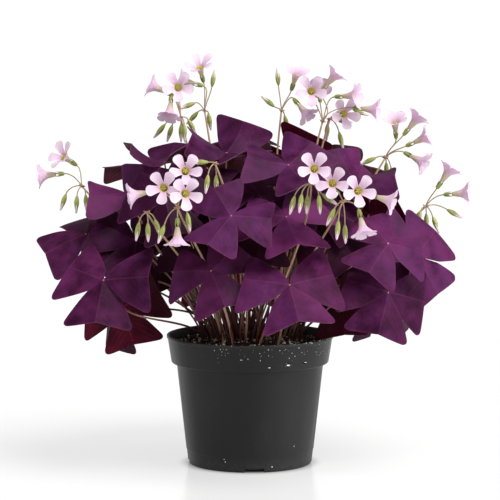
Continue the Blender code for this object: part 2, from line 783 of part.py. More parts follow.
def combine(thing, others, operation="UNION"):
    """Joins a list of solids to an object, or cuts them from it, and removes them."""
    group = bpy.data.collections.new(thing.name + "_pieces")
    for other in others:
        group.objects.link(other)
    step = thing.modifiers.new(operation.title(), "BOOLEAN")
    step.operation = operation
    step.solver = "EXACT"
    step.operand_type = "COLLECTION"
    step.collection = group
    bake(thing)
    for other in others:
        bpy.data.objects.remove(other)
    bpy.data.collections.remove(group)


def cylinder(bottom, height, radius, sides, collection):
    """An upright cylinder on a bottom point."""
    bm = bmesh.new()
    middle = Matrix.Translation(Vector(bottom) + Vector((0, 0, height / 2)))
    bmesh.ops.create_cone(bm, cap_ends=True, segments=sides, radius1=radius, radius2=radius,
                          depth=height, matrix=middle)
    return add_object("cylinder", bm, collection)


def box(low, high, turn, collection):
    """A box between two corners, turned about the pot's axis."""
    bm = bmesh.new()
    low, high = Vector(low), Vector(high)
    place = Matrix.Rotation(math.radians(turn), 4, "Z") @ Matrix.Translation((low + high) / 2)
    bmesh.ops.create_cube(bm, size=1.0, matrix=place @ Matrix.Diagonal((*(high - low), 1.0)))
    return add_object("box", bm, collection)


# The pot and its soil

def pot_profile():
    """The pot's section, from the middle of its floor up the inside and down the outside."""
    return ((0, FLOOR), (BASE_RADIUS - WALL, FLOOR), (BODY_TOP_RADIUS - WALL, BAND_BOTTOM),
            (BAND_FOOT_RADIUS - WALL, BAND_BOTTOM + WALL), (RIM_RADIUS - WALL - 1.0, POT_HEIGHT - 0.7),
            (RIM_RADIUS - WALL - 0.4, POT_HEIGHT), (RIM_RADIUS - 0.3, POT_HEIGHT),
            (RIM_RADIUS, POT_HEIGHT - 0.4), (RIM_RADIUS, POT_HEIGHT - LIP_HEIGHT),
            (RIM_RADIUS - 0.8, POT_HEIGHT - LIP_HEIGHT - 0.5), (BAND_FOOT_RADIUS, BAND_BOTTOM + 0.7),
            (BAND_FOOT_RADIUS - 0.7, BAND_BOTTOM), (BODY_TOP_RADIUS, BAND_BOTTOM - 0.6),
            (BASE_RADIUS + 0.1, BASE_CHAMFER), (BASE_RADIUS - BASE_CHAMFER, 0), (0, 0))


def soil_profile():
    """The soil's section, which keeps a gap inside the pot, from its foot out and up to its edge."""
    foot, shoulder = BASE_RADIUS - WALL - FIT_GAP, BODY_TOP_RADIUS - WALL - FIT_GAP
    shelf = BAND_FOOT_RADIUS - WALL - FIT_GAP
    share = (SOIL_EDGE - BAND_BOTTOM) / (POT_HEIGHT - BAND_BOTTOM)
    edge = shelf + (RIM_RADIUS - 1.0 - BAND_FOOT_RADIUS) * share
    return ((edge, SOIL_EDGE), (shelf - 0.2, BAND_BOTTOM + WALL + FIT_GAP),
            (shoulder, BAND_BOTTOM + FIT_GAP), (foot, FLOOR + FIT_GAP), (0, FLOOR + FIT_GAP))


def notch_boxes(grow, inner, outer, height, collection):
    """One box for each notch in the pot's foot."""
    half = NOTCH_WIDTH / 2 + grow
    return [box((inner, -half, -1.0), (outer, half, height), -90 + NOTCH_TURN + k * 360 / NOTCH_COUNT,
                collection) for k in range(NOTCH_COUNT)]


def make_pot(collection, cutters):
    """The pot: a turned shell with a pocket over each notch in its foot."""
    pot = turned("pot", pot_profile(), POT_SIDES, collection)
    inner = BASE_RADIUS - NOTCH_DEPTH
    pockets = cylinder((0, 0, 0.2), NOTCH_HEIGHT + WALL, BASE_RADIUS - WALL / 2, POT_SIDES, cutters)
    combine(pockets, notch_boxes(WALL, inner - WALL, BASE_RADIUS + 5.0, NOTCH_HEIGHT + WALL, cutters),
            "INTERSECT")
    combine(pot, [pockets])
    cuts = notch_boxes(0.0, inner, BASE_RADIUS + 5.0, NOTCH_HEIGHT, cutters)
    for k in range(NOTCH_COUNT):
        angle = math.radians(-90 + NOTCH_TURN + k * 360 / NOTCH_COUNT)
        middle = BASE_RADIUS - NOTCH_DEPTH / 2 - 1.0
        foot = (middle * math.cos(angle), middle * math.sin(angle), NOTCH_HEIGHT - 1.0)
        cuts.append(cylinder(foot, WALL + 2.0, DRAIN_RADIUS, 10, cutters))
    combine(pot, cuts, "DIFFERENCE")
    pot.data.materials.append(material("pot_plastic", POT_COLOUR, 0.5))
    return pot


def make_soil(heads, tufts, collection, cutters):
    """The soil: a mounded fill with a plain hole for each stem and room for the pot's pockets."""
    section = soil_profile()
    rings = [section[0][0] * k / SOIL_RINGS for k in range(SOIL_RINGS)]
    soil = turned("soil", [(r, SOIL_EDGE + 1.0) for r in rings] + list(section), SOIL_SIDES, collection)
    for vert in soil.data.vertices:
        if vert.co.z > (SOIL_EDGE - 0.5) * MM:
            vert.co.z = soil_height(vert.co.x / MM, vert.co.y / MM) * MM
    cuts = notch_boxes(WALL + FIT_GAP, BASE_RADIUS - NOTCH_DEPTH - WALL - FIT_GAP, BASE_RADIUS + 5.0,
                       NOTCH_HEIGHT + WALL + 0.2 + FIT_GAP, cutters)
    for root, radius in ([(tuft["crown"], TUFT_RADIUS) for tuft in tufts]
                         + [(head["root"], SCAPE_RADIUS) for head in heads]):
        foot = root - (0.0, 0.0, ROOT_DEPTH + FIT_GAP)
        cuts.append(cylinder(foot, ROOT_DEPTH + 8.0, radius + FIT_GAP + 0.1, 6, cutters))
    combine(soil, cuts, "DIFFERENCE")
    soil.data.materials.append(material("soil_mix", SOIL_COLOUR, 0.95))
    return soil


# The plant

def make_tuft(number, tuft, collection):
    """One tuft: a stub in the soil, its stems, and three leaflets at the end of each."""
    name = f"leaf_tuft_{number:02d}"
    foot = tuft["crown"] - (0.0, 0.0, ROOT_DEPTH)
    base = cylinder(foot, ROOT_DEPTH + 1.5, TUFT_RADIUS, 6, collection)
    base.name = name
    pieces = []
    for leaf in tuft["leaves"]:
        pieces.append(tube("petiole", leaf["stem"], PETIOLE_RADIUS, collection))
        pose = Matrix(leaf["rotation"].tolist()).to_4x4()
        pose.translation = leaf["hub"]
        bm = leaf_mesh(leaf, LEAF_THICK)
        bmesh.ops.transform(bm, matrix=pose, verts=bm.verts[:])
        pieces.append(add_object("leaf", bm, collection))
    combine(base, pieces)
    base.data.materials.append(material(name, LEAF_COLOUR, 0.5))
    return base


def make_stalk(number, head, collection):
    """One flower stalk: the scape, its umbel, and a stem with a calyx or a bud for each flower."""
    name = f"flower_stalk_{number:02d}"
    base = tube(name, head["stem"], SCAPE_RADIUS, collection)
    bm = bmesh.new()
    bmesh.ops.create_icosphere(bm, subdivisions=1, radius=UMBEL_RADIUS,
                               matrix=Matrix.Translation(head["umbel"]))
    pieces = [add_object("umbel", bm, collection)]
    for item in head["blooms"] + head["buds"]:
        pieces.append(tube("pedicel", item["stem"], item["radii"], collection))
    combine(base, pieces)
    base.name = name
    base.data.materials.append(material(name, STALK_COLOUR, 0.55))
    return base


def make_bloom(name, item, collection):
    """One open flower, seated on its calyx."""
    bloom = add_object(name, aimed(bloom_mesh(BLOOM_THICK, item["opening"]), item["aim"],
                                   item["foot"]), collection)
    bloom.data.materials.append(material(name, PETAL_COLOUR, 0.5))
    return bloom


def main():
    """Builds the potted plant."""
    clear_scene()
    parts = bpy.data.collections.new("potted_purple_shamrock")
    cutters = bpy.data.collections.new("cutters")
    for collection in (parts, cutters):
        bpy.context.scene.collection.children.link(collection)
    heads, tufts = plant_layout()
    make_pot(parts, cutters)
    make_soil(heads, tufts, parts, cutters)
    for number, tuft in enumerate(tufts, 1):
        make_tuft(number, tuft, parts)
    for number, head in enumerate(heads, 1):
        make_stalk(number, head, parts)
        for k, item in enumerate(head["blooms"], 1):
            make_bloom(f"bloom_{number:02d}_{k}", item, parts)


main()
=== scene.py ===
"""Potted purple shamrock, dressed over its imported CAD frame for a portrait.

The layout of the plant repeats the CAD source, in millimetres and degrees, so that every leaf,
stem and flower stands where its solid does. MM turns a length into metres as a mesh is made.
"""
import itertools
import math

import bmesh
import bpy
import numpy as np
from mathutils import Matrix, Vector, noise
from mathutils.bvhtree import BVHTree


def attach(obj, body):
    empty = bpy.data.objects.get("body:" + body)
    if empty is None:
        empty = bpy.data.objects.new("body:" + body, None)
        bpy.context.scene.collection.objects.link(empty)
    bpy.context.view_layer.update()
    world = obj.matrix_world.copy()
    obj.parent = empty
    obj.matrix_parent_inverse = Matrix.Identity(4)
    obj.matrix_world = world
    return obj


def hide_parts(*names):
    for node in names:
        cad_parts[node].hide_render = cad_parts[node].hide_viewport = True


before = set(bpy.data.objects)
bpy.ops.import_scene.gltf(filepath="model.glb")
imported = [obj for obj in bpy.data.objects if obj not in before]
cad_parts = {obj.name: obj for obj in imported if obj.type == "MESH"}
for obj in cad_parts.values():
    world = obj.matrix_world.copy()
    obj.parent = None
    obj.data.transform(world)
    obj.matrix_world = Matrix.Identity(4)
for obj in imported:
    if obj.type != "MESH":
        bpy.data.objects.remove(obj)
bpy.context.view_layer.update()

MM = 0.001
FIT_GAP = 0.3

# Pot: the outer side from the foot up to the lip, then the inner side
POT_HEIGHT = 101.0
RIM_RADIUS = 65.0
LIP_HEIGHT = 2.2
BAND_BOTTOM = 79.5
BAND_FOOT_RADIUS = 61.4
BODY_TOP_RADIUS = 57.3
BASE_RADIUS = 48.6
BASE_CHAMFER = 1.2
WALL = 1.3
FLOOR = 1.8

# Notches in the pot's foot, each with a drain hole above it
NOTCH_COUNT = 4
NOTCH_TURN = 4.0
NOTCH_WIDTH = 15.0
NOTCH_HEIGHT = 3.3
NOTCH_DEPTH = 11.0
DRAIN_RADIUS = 2.6

# Soil: low at the wall and mounded at the middle
SOIL_EDGE = 94.0
SOIL_CROWN = 99.5
SOIL_RIPPLE = 0.9

# Leaves: three leaflets on a stem
LEAF_HALF_WIDTH = 0.80
LEAF_BULGE = 0.74
LEAF_WEB = 1.5
LEAF_NOTCH = 0.10
LEAF_CORNER = 0.05
LEAF_STATIONS = (0.0, 0.5, 0.92, 1.0)
LEAF_FOLDS = (9.0, 19.0)
LEAF_ROLL = 9.0
LEAF_SAG = (0.5, 0.9)
PETIOLE_RADIUS = 0.85
PETIOLE_STEPS = 4
LEAVES_IN_TUFT = 4
TUFT_RADIUS = 3.0
ROOT_DEPTH = 9.0

# Where stems come up: a sunflower pattern round the middle of the soil
SPOT_COUNT = 34
SPOT_SPACING = 7.2
SPOT_SHARE = 0.28
SPOT_TRIES = 6
GOLDEN_ANGLE = 137.5
STEM_LEAN = 0.35
UMBEL_AIM_HEIGHT = 60.0

# How far a stem stops short of what it grows to, when it is tested
STEM_END = 6.0
PEDICEL_END = 2.5

# Ways for the stems: rise from the soil, reach at the far end, and sideways bows
PETIOLE_LIFTS = (0.4, 0.25, 0.55, 0.7)
PETIOLE_REACHES = (0.35, 0.2, 0.5, 0.65)
PETIOLE_BOWS = (6.0, 12.0, 18.0, 24.0, 32.0, 40.0)
SCAPE_LIFTS = (0.35, 0.2, 0.5, 0.65)
SCAPE_REACHES = (0.3, 0.15, 0.45)
SCAPE_BOWS = (5.0, 10.0, 15.0, 20.0, 28.0, 36.0)
PEDICEL_BOWS = (2.0, 4.0, 6.0, 8.0, 11.0, 14.0)
HIGH_BOW_SHARES = (1.0, 0.2, -0.4)

# Moves that a leaf may make to keep clear, and what each costs per unit
LEAF_SCALES = (1.0, 0.9, 0.8)
LEAF_DEPTHS = range(-18, 34, 3)
LEAF_HEIGHTS = (0, -6, 6)
LEAF_TILTS = (0, -14, 14)
LEAF_TURNS = (0, -18, 18)
LEAF_SWINGS = (0, -20, 20)
LEAF_COSTS = (60.0, 1 / 9, 1 / 3, 1 / 6, 1 / 7, 1 / 8)

# Moves that a flower may make to keep clear: depth, and a step aside or up
FLOWER_DEPTHS = range(-18, 19, 3)
FLOWER_STEPS = (0, 3, -3)

# Flowers: a funnel of five petals on a green calyx
BLOOM_RADIUS = 12.6
BLOOM_CLEFT = 4.8
BLOOM_THROAT = 3.0
HALF_OPEN = 0.72
BLOOM_LENGTH = 14.0
BLOOM_CUP = 8.0
BLOOM_THICK = 0.6
PETAL_EDGE = 12.0
PETALS = 5
CALYX_LENGTH = 4.5
CALYX_RADIUS = 2.0
SCAPE_RADIUS = 0.95
SCAPE_STEPS = 5
PEDICEL_RADIUS = 0.5
PEDICEL_STEPS = 2
PEDICEL_FINE_STEPS = 14
UMBEL_RADIUS = 1.7
BUD_LENGTH = 14.5
BUD_RADIUS = 2.0

# A direction that no stem runs along, which the sides of a tube are turned by
ASTRAY = (0.31, 0.87, 0.38)

# Room kept round each shape while the plant is laid out
LEAF_ROOM = 0.9
STEM_ROOM = 0.4

# Leaves that the front shows: hub x, y, z, facing azimuth and elevation, heading, spread,
# length, droop.
# The heading is the way the first leaflet points as seen from the front, anticlockwise from +X.
# The spread is the angle from the first leaflet to each of the others, or one angle for each.
FRONT_LEAVES = (
    (29, -122, 155, -86, 44, -84, (99, 113), 37, 2),
    (-14, -106, 205, -98, 43, -6, 120, 32, 4),
    (27, -98, 202, -85, 58, -84, 120, 35, 4),
    (-29, -96, 163, -100, 38, -70, 120, 33, 6),
    (-110, -80, 153, -113, 36, -87, (98, 112), 37, 6),
    (-87, -50, 178, -70, 36, 152, 106, 36, 4),
    (104, -74, 143, -74, 26, -106, 97, 35, 8),
    (104, -72, 180, -66, 42, 238, 118, 32, 6),
    (-126, -25, 182, -110, 58, 215, 110, 37, 10),
    (127, -25, 165, -62, 24, 44, 98, 37, 4),
    (29, -58, 238, -84, 58, 170, 120, 34, -6),
    (-18, -34, 244, -86, 66, 178, 118, 33, -18),
    (-66, -10, 236, -92, 76, -90, 120, 32, -22),
    (-92, -32, 218, -120, 60, 182, 120, 33, -14),
    (80, -30, 224, -65, 62, 2, 120, 33, -14),
    (66, 0, 230, -60, 68, 62, 120, 30, -12),
    (93, 12, 199, 80, 20, 30, 112, 31, 6),
    (-49, -85, 190, -100, 30, 30, 115, 33, 8),
    (63, -88, 190, -80, 34, -60, 115, 33, 8),
    (-64, -70, 209, -105, 34, 160, 120, 34, 6),
    (53, -75, 209, -75, 38, -30, 120, 34, 6),
    (99, -35, 168, -70, 18, 110, 110, 33, 8),
    (-64, -22, 172, -100, 26, 40, 112, 33, 8),
    (6, -80, 189, -90, 26, -90, 112, 33, 8),
    (0, -70, 224, -90, 40, -92, 120, 34, 5),
    (-34, -70, 216, -100, 36, 200, 120, 34, 5),
    (-97, -38, 129, 105, 8, -75, 105, 32, 8),
    (-105, -50, 124, -170, 8, -88, 104, 34, 8),
    (70, -32, 141, 84, 8, -80, 104, 32, 10),
    (98, -40, 131, -15, 8, -80, 104, 34, 12),
    (126, 0, 136, -20, 15, -60, 105, 35, 12),
    (38, 30, 236, 70, 34, 66, 116, 31, 0),
    (-82, 35, 231, 130, 60, 170, 120, 35, 0),
    (85, 45, 229, 50, 60, 10, 120, 34, 0),
)

# How many of those rows are leaves in front of all others
OUTER_ROWS = 17

# Leaves round the back: rows of height, hub radius, facing elevation and azimuths
BACK_ROWS = (
    (240, 55, 55, (78, 106, 132)),
    (200, 104, 38, (22, 60, 95, 130, 162)),
    (150, 112, 22, (18, 50, 82, 112, 142, 172)),
)
BACK_LEAF_SPREAD = 120.0
BACK_LEAF_LENGTH = 36.0
BACK_LEAF_DROOP = 10.0
BACK_HEADING_STEP = 47.0

# Flower heads: umbel x, y, z, then blooms and buds.
# A bloom is its mouth's x, y, z from the umbel, then the azimuth and elevation that it faces.
# A bud is its middle's x, y, z from the umbel, then the elevation that it points to.
SPRAYS = (
    ((-36, 55, 272),
     ((-5, 0, 39, -110, 55), (-21, 0, 25, 180, 15)),
     ((7, 0, 26, 80), (4, 3, -9, -80), (-14, -3, 4, -20), (-10, 4, -6, -45))),
    ((-54, 20, 269),
     ((-2, -8, 25, -90, 15), (-25, 0, 26, 180, 25), (-9, -9, 0, -100, -60)),
     ((-17, 2, -11, -50), (-9, 5, -13, -70), (0, 6, -13, -85), (3, -7, -12, -85), (9, 3, -8, -60))),
    ((25, 60, 272),
     ((13, 0, 33, -60, 60), (22, -5, -5, -30, -45)),
     ((-3, 0, 27, 85), (4, 3, -11, -75), (-11, 5, 7, 35))),
    ((57, 30, 265),
     ((-9, -8, 25, -90, 10), (12, 5, 39, 0, 50), (-2, 17, 26, 90, 30), (28, -4, 21, -25, 5),
      (44, 0, 9, -10, -5)),
     ()),
    ((63, 45, 266),
     ((13, -16, 5, -70, 5),),
     ((12, 6, -2, -10), (25, 5, 5, -20), (-2, 6, -11, -80), (9, -3, -17, -75))),
    ((107, 40, 236),
     ((7, 0, 32, -100, 60), (27, 6, 33, 10, 50), (34, -8, 18, -10, 25), (31, -14, -4, -25, -25)),
     ((1, 3, -11, -80), (6, -5, -14, -70), (-14, 0, -3, -25))),
    ((137, 10, 200),
     ((20, 0, 31, 10, 55), (34, -3, 11, -10, 5)),
     ((23, 3, -6, -30), (8, -5, -14, -65), (1, 5, -13, -85), (-6, -3, -10, -70))),
    ((-131, 10, 216),
     ((-18, -5, 26, -140, 30), (-34, 0, 8, 180, -5)),
     ((-15, 3, -13, -70), (-4, -5, -14, -85), (3, 4, -14, -85))),
    ((-53, -128, 212),
     ((6, 3, 29, -85, 25), (-11, -8, 16, -100, 10), (7, -16, 12, -80, 5), (-36, -2, 9, 190, -10),
      (0, -6, -27, -90, -80)),
     ((-12, -4, -19, -70), (8, 5, -11, -80))),
    ((45, -118, 229),
     ((2, -11, 13, -90, 15),),
     ((-14, 0, -16, -75), (-8, -6, -14, -80), (-3, 5, -16, -85), (6, -4, -15, -85),
      (14, 2, -12, -35))),
    ((68, -125, 216),
     ((-8, -6, 15, -95, 15), (12, -14, 10, -80, 10), (38, 0, 0, -15, -15), (16, -4, -24, -60, -65)),
     ((-9, 0, -11, -65), (-4, -6, -20, -80), (2, 4, -24, -85))),
    ((-76, -112, 207),
     (),
     ((-7, 0, -14, -80), (1, -6, -14, -85), (8, 4, -12, -70))),
    ((-26, -95, 242),
     (),
     ((-12, 0, 1, 0), (-6, -5, -15, -80), (1, 5, -16, -85))),
)


def unit(vector):
    """The vector at length one."""
    return vector / np.linalg.norm(vector)


def direction(azimuth, elevation):
    """The unit vector that points to an azimuth and an elevation."""
    a, e = math.radians(azimuth), math.radians(elevation)
    return np.array((math.cos(e) * math.cos(a), math.cos(e) * math.sin(a), math.sin(e)))


def polar(radius, angle):
    """x and y at a radius and an angle in radians."""
    return radius * math.cos(angle), radius * math.sin(angle)


def turned_to(axis, towards):
    """Rotation whose third column is axis and whose first leans towards a second direction."""
    first = unit(towards - axis * towards.dot(axis))
    return np.column_stack((first, np.cross(axis, first), axis))


def pose_of(aim):
    """The rotation that turns a flower's +Z to its aim."""
    side = np.array((0.0, 0.0, 1.0)) if abs(aim[2]) < 0.9 else np.array((1.0, 0.0, 0.0))
    return turned_to(aim, side)


def headings(points):
    """The direction of a line at each of its points."""
    ahead = np.gradient(points, axis=0)
    return ahead / np.linalg.norm(ahead, axis=1)[:, None]


def curve_points(start, rise, reach, end, steps):
    """Points of a cubic curve from start to end by way of two pull points."""
    t = np.linspace(0.0, 1.0, steps + 1)[:, None]
    return ((1 - t) ** 3 * start + 3 * t * (1 - t) ** 2 * rise
            + 3 * t ** 2 * (1 - t) * reach + t ** 3 * end)


# Shapes in their own frames

def leaflet_turns(spread):
    """Each leaflet's turn about the hub, and the angles to its two webs from its own midrib."""
    second, third = np.broadcast_to(spread, 2)
    back = 180 - (second + third) / 2
    return ((0, (-third / 2, second / 2)), (second, (-second / 2, back)),
            (-third, (-back, third / 2)))


def leaflet_point(along, across, length, webs, folds, droop):
    """A point of a leaflet whose midrib runs along +X, folded and drooping from its plane."""
    edge, half = abs(across), int(across > 0)
    if along == 0.0:
        return (*polar(LEAF_WEB * edge, math.radians(webs[half])), 0.0)
    end = 1.0 - LEAF_NOTCH * (1.0 - edge) ** 1.6
    end -= LEAF_CORNER * max(0.0, (edge - 0.7) / 0.3) ** 2
    spread = min(along / 0.94, 1.0) ** LEAF_BULGE
    spread *= 1.0 - 0.1 * max(0.0, (along - 0.9) / 0.1) ** 2
    x = along * length * end
    y = across * (LEAF_WEB + (length * LEAF_HALF_WIDTH - LEAF_WEB) * spread)
    lean = math.radians(folds[half])
    y, z = y * math.cos(lean), -abs(y) * math.sin(lean)
    sag = math.radians(droop * (LEAF_SAG[0] + LEAF_SAG[1] * along))
    return x * math.cos(sag) + z * math.sin(sag), y, z * math.cos(sag) - x * math.sin(sag)


def leaf_mesh(leaf, thick):
    """A leaf's three leaflets as one closed blade, with the hub at the origin and facing +Z."""
    bm = bmesh.new()
    last = len(LEAF_STATIONS) - 1
    turns = leaflet_turns(leaf["spread"])
    for (angle, webs), folds, droop in zip(turns, leaf["folds"], leaf["droops"]):
        turn = Matrix.Rotation(math.radians(angle), 3, "Z")
        grid = bmesh.ops.create_grid(bm, x_segments=last, y_segments=2, size=0.5)
        for vert in grid["verts"]:
            along = LEAF_STATIONS[round((vert.co.x + 0.5) * last)]
            point = leaflet_point(along, vert.co.y * 2.0, leaf["length"], webs, folds, droop)
            vert.co = turn @ Vector(point)
    bmesh.ops.remove_doubles(bm, verts=bm.verts[:], dist=0.01)
    bmesh.ops.triangulate(bm, faces=bm.faces[:])
    thicken(bm, thick)
    return bm


def thicken(bm, thick):
    """Turns an open sheet into a closed blade with the sheet in its middle."""
    bmesh.ops.recalc_face_normals(bm, faces=bm.faces[:])
    bm.normal_update()
    for vert in bm.verts:
        vert.co += vert.normal * thick / 2
    bmesh.ops.solidify(bm, geom=bm.faces[:], thickness=thick)
    bmesh.ops.recalc_face_normals(bm, faces=bm.faces[:])


def bloom_mesh(thick, opening):
    """A five-petalled funnel that opens to +Z, with the foot of its throat at the origin."""
    bm = bmesh.new()
    columns = 3 * PETALS
    bmesh.ops.create_grid(bm, x_segments=columns, y_segments=2, size=0.5)
    for vert in bm.verts:
        column = round((vert.co.x + 0.5) * columns) % columns
        ring = round((vert.co.y + 0.5) * 2)
        petal, place = divmod(column, 3)
        edge = PETAL_EDGE if ring == 2 else 0.0
        across = (0.0, edge, 360 / PETALS - edge)[place]
        angle = math.radians(360 / PETALS * petal + across)
        outer = BLOOM_CLEFT if place == 0 else BLOOM_RADIUS * opening
        top = BLOOM_CUP + (BLOOM_LENGTH - BLOOM_CUP) * (0.45 if place == 0 else 1.0)
        radius = (0.0, BLOOM_THROAT, outer)[ring]
        vert.co = (*polar(radius, angle), (0.0, BLOOM_CUP, top)[ring])
    bmesh.ops.remove_doubles(bm, verts=bm.verts[:], dist=0.01)
    bmesh.ops.triangulate(bm, faces=bm.faces[:])
    thicken(bm, thick)
    return bm


def stem_end(item, grow):
    """The swollen end of a thin stem, as places along its axis and radii: a bud or a calyx."""
    if "opening" in item:
        places = ((-CALYX_LENGTH, 0.7), (0.0, CALYX_RADIUS))
    else:
        places = ((-BUD_LENGTH / 2, PEDICEL_RADIUS), (-1.0, BUD_RADIUS), (BUD_LENGTH / 2, 0.5))
    return [(item["top"] + item["aim"] * along, radius + grow) for along, radius in places]


def as_arrays(bm):
    """The points and triangles of a mesh, which is freed."""
    bmesh.ops.triangulate(bm, faces=bm.faces[:])
    bm.verts.index_update()
    points = np.array([vert.co[:] for vert in bm.verts])
    faces = [tuple(vert.index for vert in face.verts) for face in bm.faces]
    bm.free()
    return points, faces


def tube_arrays(points, radii):
    """Points and faces of a four-sided tube, to test a stem's way."""
    points = np.array(points)
    radii = np.broadcast_to(radii, len(points))[:, None]
    ahead = headings(points)
    side = np.cross(ahead, ASTRAY)
    side /= np.linalg.norm(side, axis=1)[:, None]
    other = np.cross(ahead, side)
    rings = [points + radii * shift for shift in (side, other, -side, -other)]
    count = len(points)
    faces = []
    for k in range(4):
        for i in range(count - 1):
            a, b = k * count + i, (k + 1) % 4 * count + i
            faces.append((a, b, b + 1, a + 1))
    return np.concatenate(rings), faces


def shortened(points, by):
    """A line of points that stops short of its end."""
    points = np.array(points)
    points[-1] -= unit(points[-1] - points[-2]) * by
    return points


# Room: what is in place already, and where the next shape can go

class Room:
    """Shapes that are in place, as boxes and search trees."""

    def __init__(self):
        self.boxes = np.zeros((0, 2, 3))
        self.trees = []

    def add(self, shapes):
        """Puts more shapes in place."""
        self.boxes = np.concatenate((self.boxes, [shape[:2] for shape in shapes]))
        self.trees += [shape[2] for shape in shapes]

    def drop_last(self):
        """Takes the last shape out again and gives it back."""
        low, high = self.boxes[-1]
        self.boxes = self.boxes[:-1]
        return low, high, self.trees.pop()

    def clashes(self, shape, limit):
        """How many pairs of faces of the shape cross what is in place, counted up to a limit."""
        low, high, tree = shape
        near = ((self.boxes[:, 0] <= high) & (self.boxes[:, 1] >= low)).all(axis=1)
        count = 0
        for k in np.flatnonzero(near):
            count += len(tree.overlap(self.trees[k]))
            if count >= limit:
                break
        return count


def solid_of(points, faces):
    """A shape's box and search tree."""
    return points.min(axis=0), points.max(axis=0), BVHTree.FromPolygons(points.tolist(), faces)


def settle(variants, make, placed):
    """The first variant that is clear of what is in place, or else the one that clashes least."""
    best, fewest, chosen = None, math.inf, None
    for variant in variants:
        shapes = make(variant)
        count = 0
        for shape in shapes:
            count += placed.clashes(shape, fewest - count)
            if count >= fewest:
                break
        if count < fewest:
            best, fewest, chosen = variant, count, shapes
        if count == 0:
            break
    if fewest:
        print("no clear place for", np.round(best, 1).tolist(), fewest)
    placed.add(chosen)
    return best


# Layout of the leaves

def leaf_list():
    """Every leaf's hub, facing, heading, spread, length, folds and droops, before any is moved."""
    rows = [dict(hub=row[:3], azimuth=row[3], elevation=row[4], heading=row[5], spread=row[6],
                 length=row[7], droop=row[8]) for row in FRONT_LEAVES]
    for height, radius, elevation, azimuths in BACK_ROWS:
        for azimuth in azimuths:
            heading = 90.0 + BACK_HEADING_STEP * len(rows)
            rows.append(dict(hub=(*polar(radius, math.radians(azimuth)), height),
                             azimuth=azimuth, elevation=elevation, heading=heading,
                             spread=BACK_LEAF_SPREAD, length=BACK_LEAF_LENGTH,
                             droop=BACK_LEAF_DROOP))
    draw = np.random.RandomState(11)
    for number, row in enumerate(rows):
        row["inner"] = OUTER_ROWS <= number < len(FRONT_LEAVES)
        rolls = draw.uniform(-LEAF_ROLL, LEAF_ROLL, 3)
        folds = draw.uniform(*LEAF_FOLDS, 3)
        row["folds"] = np.stack((folds - rolls, folds + rolls), axis=1)
        row["droops"] = row["droop"] + draw.uniform(-4.0, 4.0, 3)
    return rows


def leaf_place(leaf, move):
    """The leaf's rotation and hub after a move of its depth, height, tilt, turn and swing."""
    _, depth, height, tilt, turn, swing = move
    facing = direction(leaf["azimuth"] + swing, leaf["elevation"] + tilt)
    heading = math.radians(leaf["heading"] + turn)
    towards = np.array((math.cos(heading), 0.0, math.sin(heading)))
    return turned_to(facing, towards), np.array(leaf["hub"]) + (0.0, depth, height)


def leaf_moves():
    """Moves that a leaf may make, the smallest first. Depth keeps its place in the front view."""
    moves = itertools.product(LEAF_SCALES, LEAF_DEPTHS, LEAF_HEIGHTS, LEAF_TILTS, LEAF_TURNS,
                              LEAF_SWINGS)
    still = (1.0, 0, 0, 0, 0, 0)

    def cost(move):
        return sum(abs(a - b) * share for a, b, share in zip(move, still, LEAF_COSTS))
    return sorted(moves, key=cost)


def place_leaves(leaves, placed):
    """Moves each leaf in turn to where it is clear of those before it."""
    moves = leaf_moves()
    for leaf in leaves:
        points, faces = as_arrays(leaf_mesh(leaf, 2 * LEAF_ROOM))

        def make(move):
            rotation, hub = leaf_place(leaf, move)
            return [solid_of(points * move[0] @ rotation.T + hub, faces)]

        move = settle(moves, make, placed)
        leaf["rotation"], leaf["hub"] = leaf_place(leaf, move)
        leaf["length"] *= move[0]


# Layout of the flower heads

def head_list():
    """Every flower head with its umbel, blooms and buds as places and directions."""
    heads = []
    lowest = {opening: as_arrays(bloom_mesh(BLOOM_THICK, opening))[0][:, 2].min()
              for opening in (1.0, HALF_OPEN)}
    for umbel, blooms, buds in SPRAYS:
        umbel = np.array(umbel, float)
        head = dict(umbel=umbel, blooms=[], buds=[])
        for x, y, z, azimuth, elevation in blooms:
            aim = direction(azimuth, elevation)
            foot = umbel + (x, y, z) - BLOOM_LENGTH * aim
            opening = 1.0 if aim[1] < -0.5 and aim[2] > -0.5 else HALF_OPEN
            top = foot + (lowest[opening] - FIT_GAP) * aim
            head["blooms"].append(dict(foot=foot, top=top, aim=aim, opening=opening))
        for x, y, z, elevation in buds:
            aim = direction(math.degrees(math.atan2(y, x)), elevation)
            middle = umbel + (x, y, z)
            head["buds"].append(dict(foot=middle, top=middle, aim=aim))
        heads.append(head)
    return heads


def posed(arrays, aim, place):
    """A shape's box and tree once its +Z points along aim and its origin is at place."""
    points, faces = arrays
    return solid_of(points @ pose_of(aim).T + place, faces)


def pedicel_points(umbel, end, aim, bow, steps):
    """A flower's thin stem from the umbel to its calyx or bud, which it meets along aim."""
    span = np.linalg.norm(end - umbel)
    first = unit(end - umbel + (0.0, 0.0, span * 0.6) + bow)
    start = umbel + first * UMBEL_RADIUS * 0.5
    return curve_points(start, umbel + first * span * 0.4 + bow, end - aim * span * 0.3 + bow * 0.5,
                        end, steps)


def sideways_bows(sizes):
    """Sideways pulls on a stem, the smallest first."""
    bows = [np.zeros(3)]
    for size in sizes:
        for turn in range(0, 360, 45):
            for rise in (0, 1):
                bows.append(size * direction(turn, 35 * rise))
    return bows


def end_shape(item, shift):
    """A bud's or calyx's box and tree, with room round it, moved by a shift."""
    ends = stem_end(item, STEM_ROOM / 2)
    places, radii = zip(*ends)
    return solid_of(*tube_arrays([place + shift for place in places], radii))


